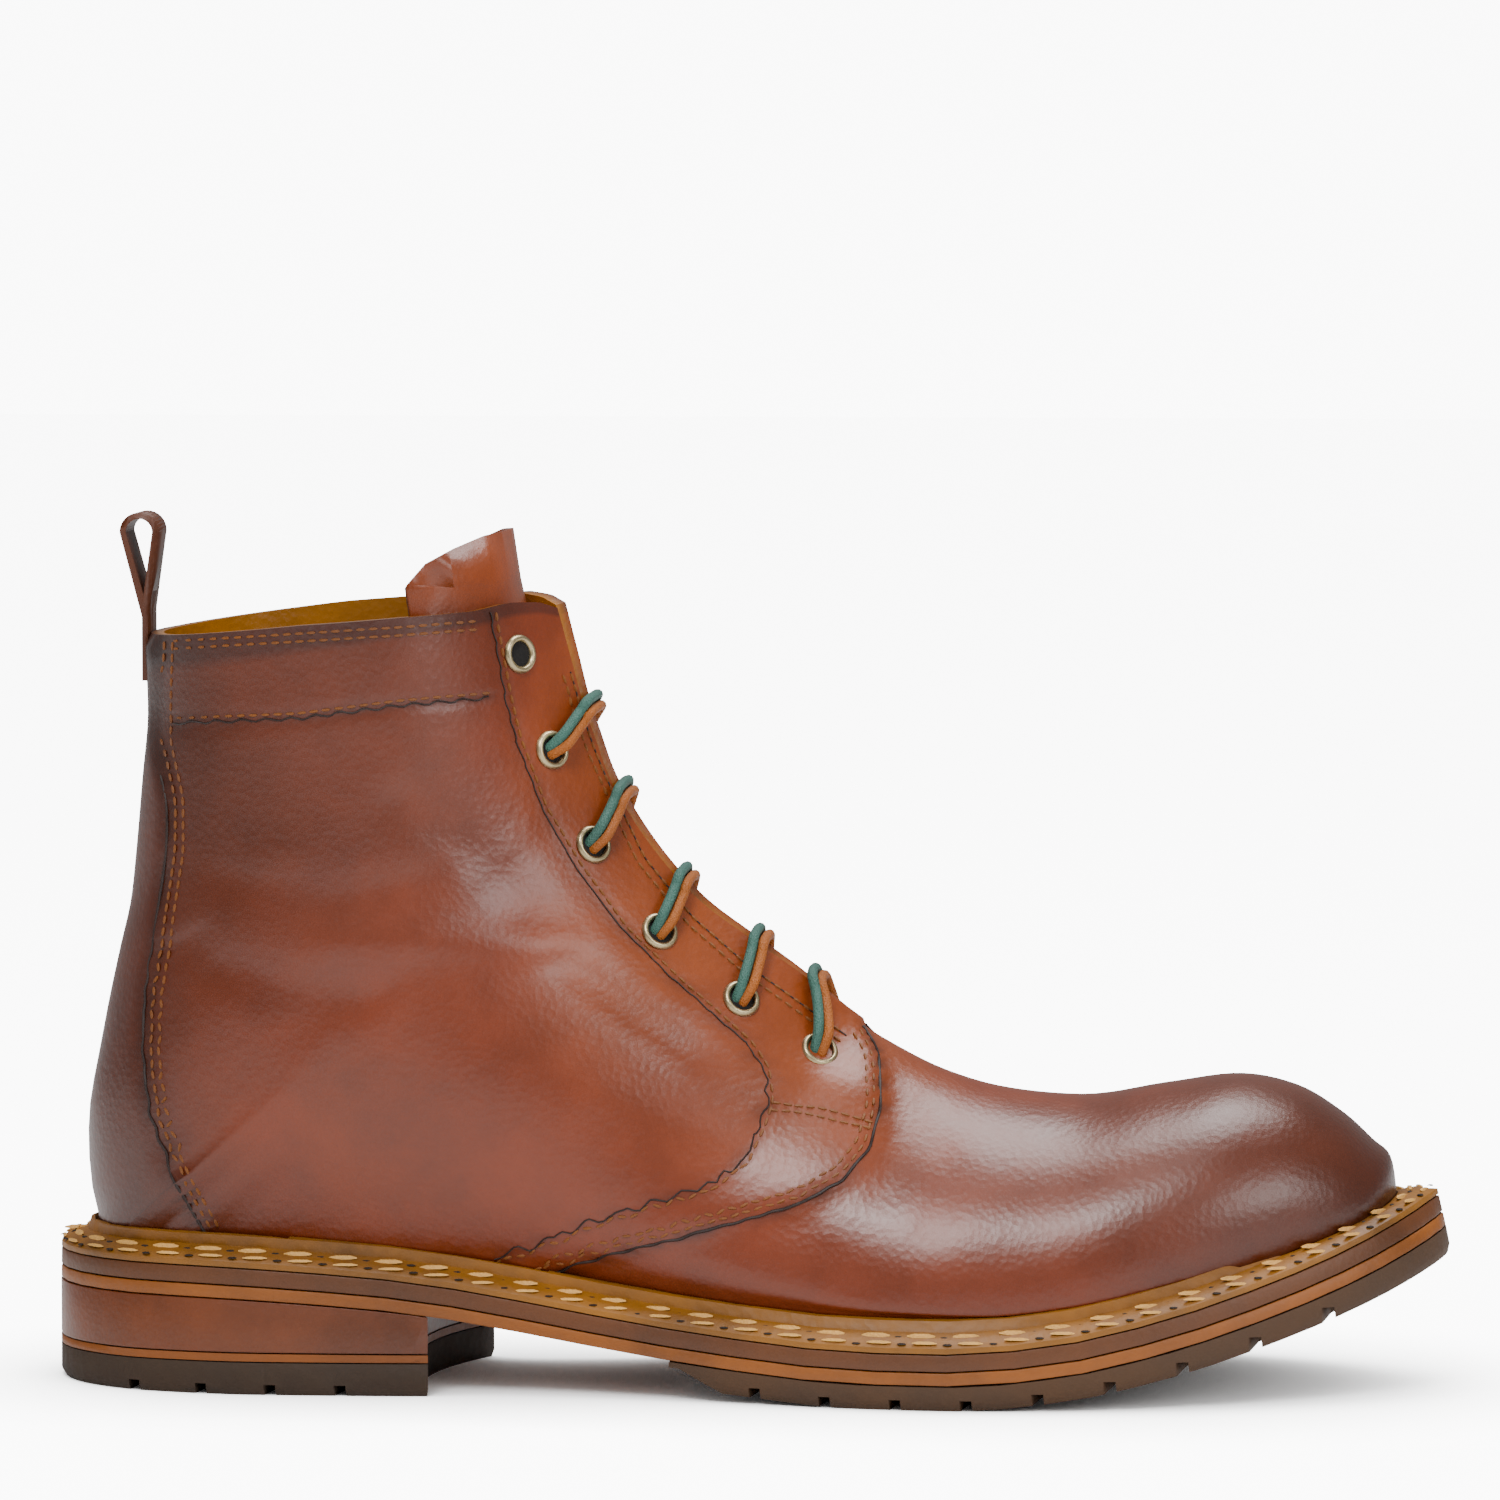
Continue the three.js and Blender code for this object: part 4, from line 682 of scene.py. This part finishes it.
# Eyelets: rolled antique brass, pressed through the facings, each a rounded rim about a hole that the
# laces go down into, closed by a black disc of painted shade
EYELETS = [
    (20.64, 0.136, 21.19),
    (18.36, 0.116, 18.86),
    (16.20, 0.112, 16.70),
    (14.12, 0.124, 14.62),
    (12.36, 0.148, 12.91),
    (11.06, 0.152, 11.81),
]


def skin_frame(side, row, t):
    p = skin(side, row, t)
    a = skin(side, row + 0.08, t) - skin(side, max(row - 0.08, 0), t)
    d = skin(side, row, min(t + 0.02, 1)) - skin(side, row, max(t - 0.02, 0))
    return p, (d.cross(a) * side).normalized(), a.normalized()


brass = surface("antique_brass", "#b9a470", rough=0.35, grain=1500, bump=0.05, metal=1.0, depth=0.9, rich=0.8)
# Painted shade: a black disc inside each eyelet's hole
hole_shade_black = surface("eyelet_hole_shade", "#0c0806", rough=0.9)
RIM = [(2.75, -0.6), (2.8, 1.5), (3.1, 2.1), (3.6, 2.35), (4.1, 2.05), (4.4, 1.45), (4.4, 1.25)]
ring_points, ring_faces, shade_disc_points, shade_disc_faces = [], [], [], []
for row, t, cross in EYELETS:
    for side in (-1, 1):
        centre, normal, u = skin_frame(side, row, t)
        u = (u - normal * u.dot(normal)).normalized()
        v = normal.cross(u)
        base, sides = len(ring_points), 28
        for r, h in RIM:
            for m in range(sides):
                a = 2 * math.pi * m / sides
                ring_points.append(centre + normal * h + (u * math.cos(a) + v * math.sin(a)) * r)
        for k in range(len(RIM) - 1):
            for m in range(sides):
                n = (m + 1) % sides
                o = base + k * sides
                ring_faces.append([o + m, o + n, o + sides + n, o + sides + m])
        base = len(shade_disc_points)
        for m in range(16):
            a = 2 * math.pi * m / 16
            shade_disc_points.append(centre + normal * 1.3 + (u * math.cos(a) + v * math.sin(a)) * 2.79)
        shade_disc_faces.append([base + m for m in range(16)])
eyelet_nodes = [f"eyelet_{side}_{k}" for k in range(1, 7) for side in ("outer", "inner")]
mesh_piece("eyelet_rings", ring_points, ring_faces, brass, eyelet_nodes, angle=70)
mesh_piece("eyelet_shade_discs", shade_disc_points, shade_disc_faces, hole_shade_black)

# Laces: two round waxed cords side by side, straight bars over the throat, their ends down in the eyelets
for name, colour, sign in (("green", "#5f857a", 1), ("brown", "#d68a60", -1)):
    cord_points, cord_faces = [], []
    for row, t, cross in EYELETS[1:]:
        path = []
        for side in (-1, 1):
            leg = []
            for share, depth in ((1.02, -0.2), (0.96, 2.0), (0.8, 4.1), (0.55, 4.2), (0.3, 4.2), (0.05, 4.2)):
                r = cross + (row - cross) * share
                p, n, a = skin_frame(side, r, t * share + 0.005)
                leg.append(p + n * depth + a * sign * (1.3 if share < 0.9 else 0.9))
            path += leg if side < 0 else leg[::-1]
        dense = []
        for k in range(len(path) - 1):
            p0, p1, p2, p3 = (path[max(k - 1, 0)], path[k], path[k + 1], path[min(k + 2, len(path) - 1)])
            for s in range(4):
                u = s / 4
                bend = 2 * p0 - 5 * p1 + 4 * p2 - p3 + u * (3 * (p1 - p2) + p3 - p0)
                dense.append(p1 + 0.5 * u * (p2 - p0 + u * bend))
        dense.append(path[-1])
        tube(dense, 1.2, 10, cord_points, cord_faces)
    weave = surface("lace_" + name, colour, rough=0.62, grain=2600, bump=0.6, mottle=0.2)
    nodes = [f"lace_{name}_{k}" for k in range(2, 7)]
    mesh_piece("laces_" + name, cord_points, cord_faces, weave, nodes)

# Sole, heel, welt, insole, tongue and pull loop: the frame's own solids, copied and merged. Edges that a
# rasp or a mould would soften get a small bevel, and each piece gets its leather or rubber
FINISHES = {
    "top_lift": surface("top_rubber", "#4a3a2e", rough=0.75, grain=500, bump=0.3),
    "outsole_forepart": surface("tread_rubber", "#614a3a", rough=0.7, grain=500, bump=0.3),
    "heel_thin_lift": surface("thin_lift", "#b06a3c", rough=0.5),
    "heel_block": surface("heel_stack", "#8a4826", rough=0.42, mottle=0.35, coat=0.2),
    "leather_sole": surface("sole_edge", "#b8703c", rough=0.5, mottle=0.35),
    "midsole": surface("midsole_edge", "#7a4c30", rough=0.5, mottle=0.3),
    "storm_welt": surface("welt_leather", "#b47a3c", rough=0.5, grain=500, mottle=0.45, bump=0.25),
    "insole": surface("insole_leather", "#c89860", rough=0.6),
    "tongue": surface("tongue_leather", "#a9532f", rough=0.4, mottle=0.3, coat=0.2),
    "pull_loop": surface("loop_leather", "#6f3a20", rough=0.5, mottle=0.3),
}
BEVELS = {"top_lift": 0.4, "outsole_forepart": 0.4, "heel_block": 0.2, "leather_sole": 0.3, "midsole": 0.3,
          "storm_welt": 0.25}
for name, material in FINISHES.items():
    node = bpy.data.objects[name]
    mesh = node.data.copy()
    mesh.transform(node.matrix_world)
    bm = bmesh.new()
    bm.from_mesh(mesh)
    bmesh.ops.remove_doubles(bm, verts=bm.verts, dist=1e-6)
    bm.to_mesh(mesh)
    bm.free()
    piece = bpy.data.objects.new(name + "_finish", mesh)
    bpy.context.collection.objects.link(piece)
    mesh.materials.clear()
    mesh.materials.append(material)
    bpy.context.view_layer.objects.active = piece
    piece.select_set(True)
    if name in BEVELS:
        soft = piece.modifiers.new("bevel", "BEVEL")
        soft.width = BEVELS[name] * MM
        soft.segments = 2
        soft.limit_method = "ANGLE"
        soft.angle_limit = math.radians(35)
        bpy.ops.object.modifier_apply(modifier=soft.name)
    bpy.ops.object.shade_smooth_by_angle(angle=math.radians(45 if name == "tongue" else 32))
    piece.select_set(False)
    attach(piece, "root")
    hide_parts(name)

# Pale floor and soft studio light: three large lamps, and a white surround. The floor glows as bright as
# the surround, and its glow fades to a painted shadow where the sole is near
white = bpy.data.materials.new("floor")
white.use_nodes = True
white.node_tree.nodes["Principled BSDF"].inputs["Base Color"].default_value = (0.93, 0.93, 0.93, 1)
white.node_tree.nodes["Principled BSDF"].inputs["Roughness"].default_value = 0.9
FLOOR_GLOW = 9.0
WORLD_GLOW = 10.0
SHADOW_DEPTH = 2.2
sight = add_node(white.node_tree, "ShaderNodeLightPath")
glow = add_node(white.node_tree, "ShaderNodeMath", {"operation": "MULTIPLY"})
white.node_tree.links.new(sight.outputs["Is Camera Ray"], glow.inputs[0])
near = add_node(white.node_tree, "ShaderNodeAmbientOcclusion", {"Distance": 0.06})
near.samples = 8
# Painted shadow on the floor: its glow dims with the occlusion near the sole
painted_floor_shadow = add_node(white.node_tree, "ShaderNodeMath", {"operation": "POWER"})
white.node_tree.links.new(near.outputs["AO"], painted_floor_shadow.inputs[0])
painted_floor_shadow.inputs[1].default_value = SHADOW_DEPTH
lit = add_node(white.node_tree, "ShaderNodeMath", {"operation": "MULTIPLY"})
white.node_tree.links.new(painted_floor_shadow.outputs[0], lit.inputs[0])
lit.inputs[1].default_value = FLOOR_GLOW
white.node_tree.links.new(lit.outputs[0], glow.inputs[1])
white.node_tree.nodes["Principled BSDF"].inputs["Emission Color"].default_value = (1, 1, 1, 1)
white.node_tree.links.new(glow.outputs[0], white.node_tree.nodes["Principled BSDF"].inputs["Emission Strength"])
bpy.ops.mesh.primitive_plane_add(size=12, location=(0, 0, 0))
floor = bpy.context.object
floor.name = "floor"
floor.data.materials.append(white)
bpy.ops.object.select_all(action="DESELECT")
world = bpy.data.worlds.new("studio")
bpy.context.scene.world = world
world.use_nodes = True
world.node_tree.nodes["Background"].inputs["Color"].default_value = (1, 1, 1, 1)
AMBIENT = 0.34
sight = add_node(world.node_tree, "ShaderNodeLightPath")
glow = add_node(world.node_tree, "ShaderNodeMapRange", {"To Min": AMBIENT, "To Max": WORLD_GLOW},
                {"Value": sight.outputs["Is Camera Ray"]})
world.node_tree.links.new(glow.outputs["Result"], world.node_tree.nodes["Background"].inputs["Strength"])
for name, spot, size, power in (("key", (-0.25, -1.3, 1.5), 0.6, 30), ("fill", (1.3, -1.2, 0.8), 0.7, 14),
                                ("top", (0.15, 0.3, 1.5), 0.8, 22)):
    lamp = bpy.data.lights.new(name, "AREA")
    lamp.size = size
    lamp.energy = power
    holder = bpy.data.objects.new(name, lamp)
    holder.location = spot
    holder.rotation_euler = (Vector((0, 0, 0.08)) - Vector(spot)).to_track_quat("-Z", "Y").to_euler()
    bpy.context.collection.objects.link(holder)
